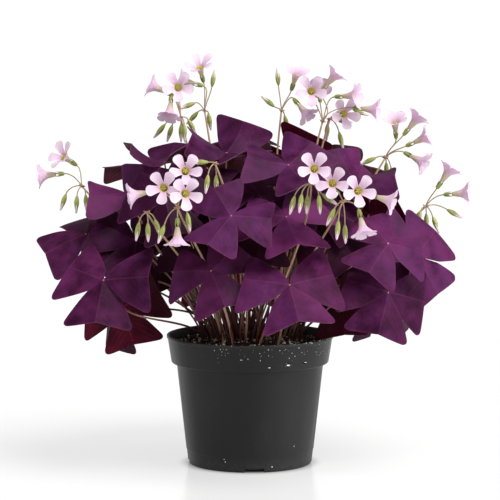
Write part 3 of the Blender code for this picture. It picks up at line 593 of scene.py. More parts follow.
def place_heads(heads, placed):
    """Sets blooms and buds clear of each other, mostly by their depth."""
    blooms = {opening: as_arrays(bloom_mesh(BLOOM_THICK + 1.0, opening))
              for opening in (1.0, HALF_OPEN)}
    shifts = [np.array(shift)
              for shift in itertools.product(FLOWER_STEPS, FLOWER_DEPTHS, FLOWER_STEPS)]
    shifts.sort(key=lambda shift: abs(shift[1]) + 2 * abs(shift[0]) + 2 * abs(shift[2]))
    for head in heads:
        for item in head["blooms"] + head["buds"]:
            def make(shift):
                shapes = [end_shape(item, shift)]
                if "opening" in item:
                    shapes.append(posed(blooms[item["opening"]], item["aim"], item["foot"] + shift))
                return shapes
            shift = settle(shifts, make, placed)
            for key in ("top", "foot"):
                item[key] = item[key] + shift


def place_pedicels(heads, placed):
    """Finds each flower's stem a way from its umbel that is clear of other flowers."""
    bows = sideways_bows(PEDICEL_BOWS)
    for head in heads:
        own = []
        for item in head["blooms"] + head["buds"]:
            ends = stem_end(item, 0.0)
            end = ends[0][0]

            def make(bow):
                points = pedicel_points(head["umbel"], end, item["aim"], bow, PEDICEL_STEPS)
                points = shortened(points, PEDICEL_END)
                return [solid_of(*tube_arrays(points, PEDICEL_RADIUS + STEM_ROOM / 2))]
            bow = settle(bows, make, placed)
            own.append(placed.drop_last())
            item["line"] = pedicel_points(head["umbel"], end, item["aim"], bow, PEDICEL_FINE_STEPS)
        placed.add(own)


# Layout of the long stems

def soil_spots():
    """Places in the soil where stems come up, spread evenly round the middle."""
    spots = []
    for k in range(SPOT_COUNT):
        x, y = polar(SPOT_SPACING * math.sqrt(k), math.radians(GOLDEN_ANGLE * k))
        spots.append(np.array((x, y, soil_height(x, y))))
    return spots


def nearest_spots(spots, towards):
    """The free places in the soil, from the one nearest under what grows from it."""
    wanted = np.array(towards[:2]) * SPOT_SHARE
    return sorted(spots, key=lambda spot: np.linalg.norm(spot[:2] - wanted))


def take_spot(spots, place):
    """Takes a place in the soil, so that nothing else grows from it."""
    spots[:] = [spot for spot in spots if (spot != place).any()]
    return place


def tuft_list(leaves, spots):
    """Groups the leaves into tufts by azimuth and gives each tuft its place in the soil."""
    order = sorted(leaves, key=lambda leaf: math.atan2(leaf["hub"][1], leaf["hub"][0]))
    tufts = []
    for k in range(0, len(order), LEAVES_IN_TUFT):
        group = order[k:k + LEAVES_IN_TUFT]
        middle = sum(leaf["hub"] for leaf in group) / len(group)
        tufts.append(dict(leaves=group, crown=take_spot(spots, nearest_spots(spots, middle)[0])))
    return tufts


def soil_height(x, y):
    """The height of the soil at a place: a mound with shallow ripples."""
    out = min(math.hypot(x, y) / soil_profile()[0][0], 1.0)
    ripple = SOIL_RIPPLE * math.sin(0.21 * x + 0.6) * math.cos(0.17 * y - 0.4)
    return SOIL_EDGE + (SOIL_CROWN - SOIL_EDGE) * (1.0 - out ** 2) + ripple * (1.0 - out)


def stem_ways(lifts, reaches, bows):
    """Ways for a long stem: how far it rises, how it meets its end, and its bows at both."""
    ways = [(lift, reach, bow, bow * share) for lift in lifts for reach in reaches for bow in bows
            for share in HIGH_BOW_SHARES]
    ways.sort(key=lambda w: 3 * abs(w[0] - lifts[0]) + 3 * abs(w[1] - reaches[0])
              + np.linalg.norm(w[2]) / 12 + np.linalg.norm(w[2] - w[3]) / 30)
    return ways


def stem_points(start, end, meet, way, steps):
    """A long stem that leaves the soil steeply and meets its end along a direction."""
    lift, reach, low_bow, high_bow = way
    span = np.linalg.norm(end - start)
    out = unit((end - start) * (1.0, 1.0, 0.0) + (1e-6, 0.0, 0.0))
    rise = start + span * lift * unit(out * STEM_LEAN + (0.0, 0.0, 1.0)) + low_bow
    return curve_points(start, rise, end - meet * span * reach + high_bow, end, steps)


def route(starts, end, meet, ways, radius, steps, placed):
    """The best line for a stem to its end, and its shape, which stops short of the end."""
    lines = (stem_points(start, end, meet, way, steps) for start in starts for way in ways)

    def make(line):
        return [solid_of(*tube_arrays(shortened(line, STEM_END), radius + STEM_ROOM))]
    return settle(lines, make, placed), placed.drop_last()


def place_petioles(tufts, placed):
    """Finds each leaf's stem a way from its tuft to its hub."""
    ways = stem_ways(PETIOLE_LIFTS, PETIOLE_REACHES, sideways_bows(PETIOLE_BOWS))
    for tuft in tufts:
        own = []
        for number, leaf in enumerate(tuft["leaves"]):
            start = tuft["crown"] + direction(90 * number, 0) * TUFT_RADIUS * 0.4
            normal = leaf["rotation"][:, 2]
            leaf["stem"], shape = route([start], leaf["hub"], normal, ways, PETIOLE_RADIUS,
                                        PETIOLE_STEPS, placed)
            own.append(shape)
        placed.add(own)


def place_scapes(heads, spots, placed):
    """Finds each flower head's stem a way from the soil to its umbel."""
    ways = stem_ways(SCAPE_LIFTS, SCAPE_REACHES, sideways_bows(SCAPE_BOWS))
    for head in heads:
        starts = nearest_spots(spots, head["umbel"])[:SPOT_TRIES]
        meet = unit(head["umbel"] - (0.0, 0.0, UMBEL_AIM_HEIGHT))
        line, shape = route(starts, head["umbel"], meet, ways, SCAPE_RADIUS, SCAPE_STEPS, placed)
        placed.add([shape])
        head["root"] = take_spot(spots, line[0])
        head["stem"] = np.array([line[0] - (0.0, 0.0, ROOT_DEPTH), *line])


def plant_layout():
    """The whole plant: flower heads on their scapes, then leaves from the front back on theirs."""
    placed = Room()
    heads = head_list()
    place_heads(heads, placed)
    place_pedicels(heads, placed)
    spots = soil_spots()
    place_scapes(heads, spots, placed)
    leaves = leaf_list()
    place_leaves(leaves, placed)
    tufts = tuft_list(leaves, spots)
    place_petioles(tufts, placed)
    return heads, tufts


# The pot's and the soil's sections

def pot_profile():
    """The pot's section, from the middle of its floor up the inside and down the outside."""
    return ((0, FLOOR), (BASE_RADIUS - WALL, FLOOR), (BODY_TOP_RADIUS - WALL, BAND_BOTTOM),
            (BAND_FOOT_RADIUS - WALL, BAND_BOTTOM + WALL),
            (RIM_RADIUS - WALL - 1.0, POT_HEIGHT - 0.7), (RIM_RADIUS - WALL - 0.4, POT_HEIGHT),
            (RIM_RADIUS - 0.3, POT_HEIGHT), (RIM_RADIUS, POT_HEIGHT - 0.4),
            (RIM_RADIUS, POT_HEIGHT - LIP_HEIGHT),
            (RIM_RADIUS - 0.8, POT_HEIGHT - LIP_HEIGHT - 0.5),
            (BAND_FOOT_RADIUS, BAND_BOTTOM + 0.7), (BAND_FOOT_RADIUS - 0.7, BAND_BOTTOM),
            (BODY_TOP_RADIUS, BAND_BOTTOM - 0.6),
            (BASE_RADIUS + 0.1, BASE_CHAMFER), (BASE_RADIUS - BASE_CHAMFER, 0), (0, 0))


def soil_profile():
    """The soil's section, a gap inside the pot, from its edge down and in to its foot."""
    foot, shoulder = BASE_RADIUS - WALL - FIT_GAP, BODY_TOP_RADIUS - WALL - FIT_GAP
    shelf = BAND_FOOT_RADIUS - WALL - FIT_GAP
    share = (SOIL_EDGE - BAND_BOTTOM) / (POT_HEIGHT - BAND_BOTTOM)
    edge = shelf + (RIM_RADIUS - 1.0 - BAND_FOOT_RADIUS) * share
    return ((edge, SOIL_EDGE), (shelf - 0.2, BAND_BOTTOM + WALL + FIT_GAP),
            (shoulder, BAND_BOTTOM + FIT_GAP), (foot, FLOOR + FIT_GAP), (0, FLOOR + FIT_GAP))


# Finer meshes: every piece is gathered in a Skin, in millimetres

def link_object(name, data):
    """An object of the scene that holds a mesh, a light or a camera."""
    thing = bpy.data.objects.new(name, data)
    bpy.context.scene.collection.objects.link(thing)
    return thing


class Skin:
    """Gathers the grids of one piece, with UVs, material numbers, tones and edge shares."""

    def __init__(self):
        self.points, self.faces, self.uvs, self.kinds = [], [], [], []
        self.tones, self.edges = [], []
        self.count = 0

    def grid(self, points, kind=0, tone=0.5, uv=None, edge=None, wrap=False, flip=False):
        """Adds a grid of points, with its columns joined in a ring if wrap is set."""
        rows, columns = points.shape[:2]
        index = self.count + np.arange(rows * columns).reshape(rows, columns)
        if wrap:
            index = np.hstack((index, index[:, :1]))
        if uv is None:
            uv = unit_uv(rows, index.shape[1])
        quads, corners = [], []
        for down, right in ((0, 0), (0, 1), (1, 1), (1, 0)):
            rows_cut = slice(down, rows - 1 + down)
            columns_cut = slice(right, index.shape[1] - 1 + right)
            quads.append(index[rows_cut, columns_cut].ravel())
            corners.append(uv[rows_cut, columns_cut].reshape(-1, 2))
        order = (3, 2, 1, 0) if flip else (0, 1, 2, 3)
        self.faces += np.stack([quads[k] for k in order], axis=1).tolist()
        self.uvs.append(np.stack([corners[k] for k in order], axis=1).reshape(-1, 2))
        self.kinds.append(np.full(len(quads[0]), kind))
        self.take_points(points.reshape(-1, 3), tone, edge)

    def blob(self, points, faces, kind=0, tone=0.5):
        """Adds a closed mesh, such as a grain."""
        self.faces += (np.array(faces) + self.count).tolist()
        self.uvs.append(np.zeros((3 * len(faces), 2)))
        self.kinds.append(np.full(len(faces), kind))
        self.take_points(points, tone, None)

    def take_points(self, points, tone, edge):
        """Adds points with their tone and how near each is to an edge."""
        self.points.append(points)
        self.tones.append(np.full(len(points), tone))
        self.edges.append(np.zeros(len(points)) if edge is None else edge.ravel())
        self.count += len(points)

    def piece(self, name, materials, slot, nodes):
        """Makes the object, which rides on the body and stands for CAD nodes, if any."""
        mesh = bpy.data.meshes.new(name)
        mesh.from_pydata((np.concatenate(self.points) * MM).tolist(), [], self.faces)
        mesh.polygons.foreach_set("material_index", np.concatenate(self.kinds))
        layer = mesh.uv_layers.new(name="UVMap")
        layer.data.foreach_set("uv", np.concatenate(self.uvs).ravel())
        for word, values in (("tone", self.tones), ("edge", self.edges)):
            attribute = mesh.attributes.new(word, "FLOAT", "POINT")
            attribute.data.foreach_set("value", np.concatenate(values))
        mesh.shade_smooth()
        for mat in materials:
            mesh.materials.append(mat)
        thing = link_object(name, mesh)
        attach(thing, "root")
        if nodes:
            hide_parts(*nodes)


def unit_uv(rows, columns):
    """UVs that run from 0 to 1 across the columns and down the rows."""
    across, along = np.meshgrid(np.linspace(0, 1, columns), np.linspace(0, 1, rows))
    return np.stack((across, along), axis=-1)


def round_turns(sides):
    """Angles in radians that run once round, evenly."""
    return np.arange(sides) * 2 * math.pi / sides


def rings(points, radii, sides):
    """Rings of points round a line, which don't twist along it."""
    points = np.array(points)
    radii = np.broadcast_to(radii, len(points))
    ahead = headings(points)
    side = np.cross(ahead[0], ASTRAY)
    turns = round_turns(sides)
    grid = np.empty((len(points), sides, 3))
    for k, forward in enumerate(ahead):
        side = unit(side - forward * side.dot(forward))
        other = np.cross(forward, side)
        ring = np.outer(np.cos(turns), side) + np.outer(np.sin(turns), other)
        grid[k] = points[k] + radii[k] * ring
    return grid


def add_stem(skin, points, radii, kind=0, tone=0.5, sides=10):
    """A round stem with closed ends."""
    grid = rings(points, radii, sides)
    first, last = grid[:1].mean(axis=1, keepdims=True), grid[-1:].mean(axis=1, keepdims=True)
    grid = np.concatenate((np.repeat(first, sides, axis=1), grid, np.repeat(last, sides, axis=1)))
    skin.grid(grid, kind, tone, wrap=True)


def smooth_line(points, steps):
    """The cubic curve that the points of a layout line were taken from, with more points."""
    t = np.linspace(0.0, 1.0, len(points))[:, None]
    shares = np.hstack(((1 - t) ** 3, 3 * t * (1 - t) ** 2, 3 * t ** 2 * (1 - t), t ** 3))
    pulls = np.linalg.lstsq(shares, np.array(points), rcond=None)[0]
    return curve_points(*pulls, steps)


def rounded_grain(detail):
    """Points and faces of a small ball."""
    bm = bmesh.new()
    bmesh.ops.create_icosphere(bm, subdivisions=detail, radius=1.0)
    return as_arrays(bm)


GRAIN = rounded_grain(2)
CRUMB = rounded_grain(1)


def add_grain(skin, ball, place, size, draw):
    """An uneven grain: a ball that is stretched, turned and dented at random."""
    points, faces = ball
    stretch = size * draw.uniform(0.6, 1.2, 3)
    turn = np.linalg.qr(draw.normal(size=(3, 3)))[0]
    rough = 1.0 + draw.uniform(-0.16, 0.16, (len(points), 1))
    skin.blob((points * rough * stretch) @ turn.T + place, faces, tone=draw.uniform())


# Leaves

LEAF_ROWS = np.linspace(0.0, 1.0, 19)
LEAF_COLUMNS = np.sign(np.linspace(-1, 1, 27)) * np.abs(np.linspace(-1, 1, 27)) ** 1.15
CORNER_ALONG = 0.16
CORNER_ACROSS = 0.22
FINE_BULGE = 0.62
FINE_NOTCH = 0.06
FINE_WEB = 0.5
WIDEST = 0.97
WEB_LIMIT = 60.0
WEB_GAP = 1.0
BLADE = 0.3
CREASE = 0.7
RIM_WIDTH = 1.3
RIPPLE_WAVES = 5.5
RIPPLE_RISE = (0.5, 1.3)
HUB_RADIUS = 0.95
HUB_PLACES = np.linspace(-1.6, 0.75, 6)
HUB_SHAPE = np.array((0.75, 0.95, 1.0, 0.9, 0.6, 0.05))
# Tone ranges for a leaf: random for the outer leaves, and lower for the inner ones as painted shade
# behind the outer leaves
OUTER_TONES = (-0.3, 0.5)
INNER_SHADED_TONES = (-0.9, -0.3)
TONE_STEP = 0.15


def leaflet_grid(length, webs, folds, droop, wave):
    """Points of a leaflet's middle sheet, as rows out from the hub, and their edge shares."""
    along, side = LEAF_ROWS[:, None] + 0 * LEAF_COLUMNS, 0 * LEAF_ROWS[:, None] + LEAF_COLUMNS
    edge = abs(side)
    far = np.clip((along - 1 + CORNER_ALONG) / CORNER_ALONG, 0, 1)
    out = np.clip((edge - 1 + CORNER_ACROSS) / CORNER_ACROSS, 0, 1)
    reach = along - CORNER_ALONG * far * (1 - np.sqrt(1 - out ** 2 / 2))
    wide = edge - CORNER_ACROSS * out * (1 - np.sqrt(1 - far ** 2 / 2))
    x = reach * length * (1.0 - FINE_NOTCH * (1.0 - wide) ** 1.6)
    spread = (length * LEAF_HALF_WIDTH - FINE_WEB) * np.minimum(reach / WIDEST, 1.0) ** FINE_BULGE
    web = np.minimum(np.abs(np.where(side > 0, webs[1], webs[0])), WEB_LIMIT)
    y = FINE_WEB + np.minimum(spread, x * np.tan(np.radians(web - WEB_GAP)))
    y *= wide * np.sign(side)
    lean = np.radians(np.where(side > 0, folds[1], folds[0]))
    rise = np.sqrt(y ** 2 + CREASE ** 2) - CREASE
    ripple = wave[0] * np.sin(RIPPLE_WAVES * along + wave[1] + 0.8 * side) * edge ** 1.5 * along
    y, z = y * np.cos(lean), -rise * np.sin(lean) + ripple
    sag = np.radians(droop * (LEAF_SAG[0] + LEAF_SAG[1] * along))
    points = np.stack((x * np.cos(sag) + z * np.sin(sag), y,
                       z * np.cos(sag) - x * np.sin(sag)), axis=-1)
    to_edge = np.minimum((1 - edge) * length * LEAF_HALF_WIDTH * np.maximum(along, 0.05),
                         (1 - along) * length)
    return points, np.clip(1 - to_edge / RIM_WIDTH, 0, 1)


def sheet_normals(points):
    """The normal at each point of a grid."""
    normal = np.cross(np.gradient(points, axis=0), np.gradient(points, axis=1))
    return normal / np.maximum(np.linalg.norm(normal, axis=-1, keepdims=True), 1e-9)


def border(grid):
    """The three free sides of a leaflet's grid, as one row."""
    return np.concatenate((grid[:, 0], grid[-1, 1:-1], grid[::-1, -1]))


def add_leaf(skin, leaf, draw):
    """A leaf's three leaflets, each with a top, an underside and a rim, and their hub."""
    # Inner leaves draw darker tones: painted shade for leaves that sit behind the outer ones
    tone = draw.uniform(*(INNER_SHADED_TONES if leaf["inner"] else OUTER_TONES))
    uv = unit_uv(len(LEAF_ROWS), len(LEAF_COLUMNS))
    uv[..., 0] = (LEAF_COLUMNS + 1) / 2
    turns = leaflet_turns(leaf["spread"])
    for (angle, webs), folds, droop in zip(turns, leaf["folds"], leaf["droops"]):
        wave = (draw.uniform(*RIPPLE_RISE), draw.uniform(0, 6.3))
        points, edge = leaflet_grid(leaf["length"], webs, folds, droop, wave)
        normal = sheet_normals(points)
        turn = np.array(Matrix.Rotation(math.radians(angle), 3, "Z"))
        pose = leaf["rotation"] @ turn
        top = (points + normal * BLADE / 2) @ pose.T + leaf["hub"]
        under = (points - normal * BLADE / 2) @ pose.T + leaf["hub"]
        own = tone + draw.uniform(-TONE_STEP, TONE_STEP)
        skin.grid(top, 0, own, uv, edge, flip=True)
        skin.grid(under, 1, own, uv, edge)
        skin.grid(np.stack((border(top), border(under))), 2, own)
    add_hub(skin, leaf)
    return tone


def add_hub(skin, leaf):
    """The small swollen joint where three leaflets meet their stem."""
    line = leaf["hub"] + HUB_PLACES[:, None] * leaf["rotation"][:, 2]
    add_stem(skin, line, HUB_RADIUS * HUB_SHAPE, 3)


# Flowers

PETAL_S = np.array((0.0, 0.12, 0.26, 0.38, 0.46, 0.54, 0.62, 0.7, 0.78, 0.85, 0.91, 0.955,
                    0.985, 1.0))
PETAL_W = np.linspace(-1, 1, 9)
PETAL_R = ((0.0, 1.4), (0.26, 2.3), (0.46, 3.3), (0.62, 5.8), (0.8, 9.2), (1.0, 12.6))
PETAL_Z = ((0.0, 0.3), (0.26, 4.2), (0.46, 8.0), (0.62, 10.4), (0.8, 12.7), (1.0, 14.0))
PETAL_HALF = ((0.0, 36.0), (0.46, 36.5), (0.54, 33.0), (0.62, 28.5), (0.78, 25.0), (0.9, 21.5),
              (0.96, 15.0), (0.99, 7.5), (1.0, 0.5))
PETAL_FREE = 0.46
PETAL_LIFT = 0.5
PETAL_CURL = (0.2, 0.55)
PETAL_ROLL = 0.9
PETAL_SWING = 2.5
PETAL_SLANT = 0.25
PETAL_FULLER = 1.3
PETAL_WIDER = 0.3
PETAL_SHEET = 0.1
ANTHERS = 5
ANTHER_SIZE = (0.5, 0.5, 0.85)
ANTHER_RING = 1.25
ANTHER_HEIGHTS = (7.7, 8.3)
PISTIL_SIZE = (0.6, 0.6, 1.6)
PISTIL_HEIGHT = 6.9
SEPALS = 5
SEPAL_FOOT = -4.0
SEPAL_REACH = 3.2
SEPAL_HALF = 0.62
SEPAL_SWING = 4.0
CUP_PLACES = np.array((-4.6, -4.0, -3.0, -1.6, -0.2))
CUP_RADII = (0.55, 0.85, 1.15, 1.35, 1.0)
BUD_ROWS = np.linspace(0.0, 1.0, 13)
BUD_SIDES = 20
BUD_LOBES = 0.07
BUD_SWELL = ((0, 0.5), (0.08, 1.1), (0.25, 1.8), (0.42, 1.95), (0.6, 1.65), (0.8, 1.1),
             (0.93, 0.8), (1.0, 0.15))
UMBEL_KNOT = 0.72
BRACTS = 6
BRACT_RADII = (0.6, 0.75, 0.45, 0.08)


def table_value(table, s):
    """A value read from a table of places and values, along a smooth line."""
    places, values = np.array(table).T
    s = np.asarray(s)
    k = np.clip(np.searchsorted(places, s, side="right") - 1, 0, len(places) - 2)
    slopes = np.gradient(values, places)
    width = places[k + 1] - places[k]
    t = (s - places[k]) / width
    return ((2 * t ** 3 - 3 * t ** 2 + 1) * values[k]
            + (t ** 3 - 2 * t ** 2 + t) * width * slopes[k]
            + (3 * t ** 2 - 2 * t ** 3) * values[k + 1]
            + (t ** 3 - t ** 2) * width * slopes[k + 1])


def petal_grid(number, opening, draw):
    """Points of one petal's sheet: a fifth of the funnel low down, which stands free above."""
    s, w = PETAL_S[:, None] + 0 * PETAL_W, 0 * PETAL_S[:, None] + PETAL_W
    radius, height = table_value(PETAL_R, s), table_value(PETAL_Z, s)
    flare = np.clip((s - PETAL_FREE) / (1 - PETAL_FREE), 0, 1)
    mouth = opening + PETAL_WIDER * (1.0 - opening)
    spread = (mouth * BLOOM_RADIUS - BLOOM_THROAT) / (BLOOM_RADIUS - BLOOM_THROAT)
    past = radius - BLOOM_THROAT
    radius = np.where(past > 0, BLOOM_THROAT + past * spread, radius)
    fuller = 1.0 + PETAL_FULLER * (1.0 - opening) * np.minimum(4 * flare, 1.0)
    angle = np.radians(table_value(PETAL_HALF, s) * fuller) * w
    lift = draw.uniform(-PETAL_LIFT, PETAL_LIFT) * flare ** 2
    curl = draw.uniform(*PETAL_CURL) * flare * w ** 2 - PETAL_ROLL * flare ** 3 * opening
    middle = 360 / PETALS * (number + 0.5) + draw.uniform(-PETAL_SWING, PETAL_SWING)
    turn = math.radians(middle) + angle
    height = height + lift + curl + PETAL_SLANT * w * flare
    return np.stack((radius * np.cos(turn), radius * np.sin(turn), height), axis=-1)


def add_bloom(skin, item, draw):
    """An open flower: five petals with an inner and an outer face, and anthers in the throat."""
    pose = pose_of(item["aim"])
    tone = draw.uniform()
    uv = unit_uv(len(PETAL_S), len(PETAL_W))
    uv[..., 1] = PETAL_S[:, None]
    for number in range(PETALS):
        points = petal_grid(number, item["opening"], draw)
        normal = sheet_normals(points)
        for kind, shift in ((0, PETAL_SHEET / 2), (1, -PETAL_SHEET / 2)):
            sheet = (points + normal * shift) @ pose.T + item["foot"]
            skin.grid(sheet, kind, tone, uv, flip=kind == 0)
    points, faces = CRUMB
    for k in range(ANTHERS):
        place = (*polar(ANTHER_RING, 2 * math.pi * (k + 0.5) / ANTHERS), ANTHER_HEIGHTS[k % 2])
        skin.blob((points * ANTHER_SIZE + place) @ pose.T + item["foot"], faces, 2, 0.8)
    pistil = points * PISTIL_SIZE + (0, 0, PISTIL_HEIGHT)
    skin.blob(pistil @ pose.T + item["foot"], faces, 2, 0.3)


def add_calyx(skin, item, draw):
    """The green cup under an open flower, with five pointed sepals."""
    pose = pose_of(item["aim"])
    add_stem(skin, item["top"] + item["aim"] * CUP_PLACES[:, None], CUP_RADII, 1, 0.2)
    s = np.linspace(0, 1, 7)[:, None]
    w = np.linspace(-1, 1, 5)[None, :]
    for number in range(SEPALS):
        middle = 360 / SEPALS * number + draw.uniform(-SEPAL_SWING, SEPAL_SWING)
        turn = math.radians(middle) + SEPAL_HALF * w * (1 - s ** 2.2)
        swell = 0.75 * np.sin(math.pi * (s * 0.75 + 0.12)) + 0.55 * s ** 2
        radius = 1.0 + swell + 0.12 * (1 - w ** 2)
        height = SEPAL_FOOT + s * (SEPAL_REACH - SEPAL_FOOT) + 0 * w
        points = np.stack((radius * np.cos(turn), radius * np.sin(turn), height), axis=-1)
        skin.grid(points @ pose.T + item["top"], 1, draw.uniform())


def add_bud(skin, item, draw):
    """A closed bud: five sepals round a pale tip."""
    swell = np.interp(BUD_ROWS, *zip(*BUD_SWELL))[:, None]
    line = item["foot"] + item["aim"] * (BUD_ROWS[:, None] * 2 - 1) * BUD_LENGTH / 2
    grid = rings(line, 1.0, BUD_SIDES)
    lobes = np.outer(np.sin(math.pi * BUD_ROWS), np.cos(SEPALS * round_turns(BUD_SIDES)))
    middle = line[:, None, :]
    points = middle + (grid - middle) * (swell * (1.0 + BUD_LOBES * lobes))[..., None]
    skin.grid(points, 2, draw.uniform(), wrap=True)


def add_stalk(skin, head, draw):
    """A flower stalk: scape, umbel with small bracts, pedicels, calyces and buds."""
    line = smooth_line(head["stem"][1:], 26)
    line = np.concatenate((head["stem"][:1], line))
    add_stem(skin, line, SCAPE_RADIUS * np.linspace(1.05, 0.78, len(line)), 0, draw.uniform(), 12)
    add_umbel(skin, head, draw)
    for item in head["blooms"] + head["buds"]:
        radii = PEDICEL_RADIUS * np.linspace(0.9, 1.0, len(item["line"]))
        add_stem(skin, item["line"], radii, 3, draw.uniform(), 8)
        if "opening" in item:
            add_calyx(skin, item, draw)
        else:
            add_bud(skin, item, draw)


def add_umbel(skin, head, draw):
    """The knot that the thin stems spring from, with small pointed bracts."""
    points, faces = GRAIN
    skin.blob(points * UMBEL_RADIUS * UMBEL_KNOT + head["umbel"], faces, 0, 0.8)
    for k in range(BRACTS):
        out = direction(360 / BRACTS * k + draw.uniform(-15, 15), draw.uniform(-10, 40))
        line = head["umbel"] + np.outer(np.linspace(0.5, 3.0, len(BRACT_RADII)), out)
        add_stem(skin, line, BRACT_RADII, 0, 0.9, 6)


# Finishes: each material is made of nodes

WHITE = (1.0, 1.0, 1.0)
PURPLE_DEEP = (0.027, 0.0015, 0.019)
PURPLE = (0.134, 0.020, 0.102)
PURPLE_COOL = (0.078, 0.021, 0.098)
PURPLE_VEIN = (0.17, 0.03, 0.13)
PURPLE_RIB = (0.26, 0.07, 0.18)
PURPLE_EDGE = (0.20, 0.045, 0.12)
PURPLE_EDGE_DARK = (0.16, 0.05, 0.11)
PURPLE_LIT = (0.50, 0.05, 0.32)
# Painted shade: the near-black that leaves are darkened to deep inside the dome of leaves
SHADE = (0.014, 0.0005, 0.003)
WINE_DEEP = (0.030, 0.001, 0.007)
WINE = (0.11, 0.005, 0.022)
WINE_VEIN = (0.22, 0.02, 0.05)
WINE_LIT = (0.55, 0.02, 0.11)
HUB_DARK = (0.30, 0.10, 0.10)
HUB_PINK = (0.50, 0.22, 0.17)
STEM_LOW = (0.09, 0.024, 0.018)
STEM_HIGH = (0.44, 0.24, 0.17)
SCAPE_HIGH = (0.38, 0.25, 0.15)
PEDICEL_TAN = (0.36, 0.31, 0.16)
SEPAL_DARK = (0.17, 0.19, 0.035)
SEPAL_LIGHT = (0.42, 0.45, 0.13)
SEPAL_SEAM = (0.50, 0.50, 0.20)
SEPAL_TIP = (0.42, 0.17, 0.06)
BUD_CREAM = (0.80, 0.72, 0.60)
BUD_PINK = (0.84, 0.60, 0.74)
PETAL_PALE = (0.96, 0.80, 0.93)
PETAL_PINK = (0.93, 0.66, 0.87)
PETAL_EDGE_WHITE = (0.95, 0.88, 0.96)
PETAL_VEIN = (0.76, 0.42, 0.72)
THROAT = (0.84, 0.80, 0.16)
THROAT_DEEP = (0.78, 0.76, 0.10)
TUBE_CREAM = (0.88, 0.82, 0.66)
ANTHER = (0.90, 0.82, 0.26)
ANTHER_BROWN = (0.25, 0.2, 0.03)
PISTIL = (0.52, 0.54, 0.10)
PLASTIC = (0.009, 0.009, 0.0095)
# Lighter plastic towards +X: a painted sheen on the side that the side light falls on
PLASTIC_PAINTED_SHEEN = (0.019, 0.019, 0.0205)
PLASTIC_DUST = (0.10, 0.098, 0.095)
PLASTIC_SPECK = (0.45, 0.43, 0.4)
SOIL_DARK = (0.008, 0.005, 0.004)
SOIL_BROWN = (0.038, 0.023, 0.015)
SOIL_CRUMB = (0.07, 0.042, 0.026)
PERLITE_WHITE = (0.95, 0.92, 0.85)
PERLITE_TAN = (0.60, 0.49, 0.34)
# Colours of the painted highlight in the drops
GLINT_GREY = (0.86, 0.87, 0.88)
GLINT_WHITE = (0.97, 0.97, 0.97)
FLOOR_WHITE = (0.33, 0.33, 0.332)

# The dome of leaves: its middle's height in metres, and how flat it is
DOME_MIDDLE = 0.15
DOME_SQUASH = 1.35

# Where painted shade darkens a leaf's upper and under side, as distances in metres from that middle
TOP_SHADE = (0.118, 0.070)
UNDER_SHADE = (0.125, 0.080)

# Veins: pairs on a leaflet, and waves across a petal
LEAF_VEINS = 8.0
PETAL_VEINS = 46.0


class Signal:
    """What a node gives. Sums of signals and numbers are made of nodes too."""

    def __init__(self, finish, socket):
        self.finish, self.socket = finish, socket

    def __add__(self, other):
        return self.finish.math("ADD", self, other)

    def __sub__(self, other):
        return self.finish.math("SUBTRACT", self, other)

    def __mul__(self, other):
        return self.finish.math("MULTIPLY", self, other)

    def __abs__(self):
        return self.finish.math("ABSOLUTE", self)


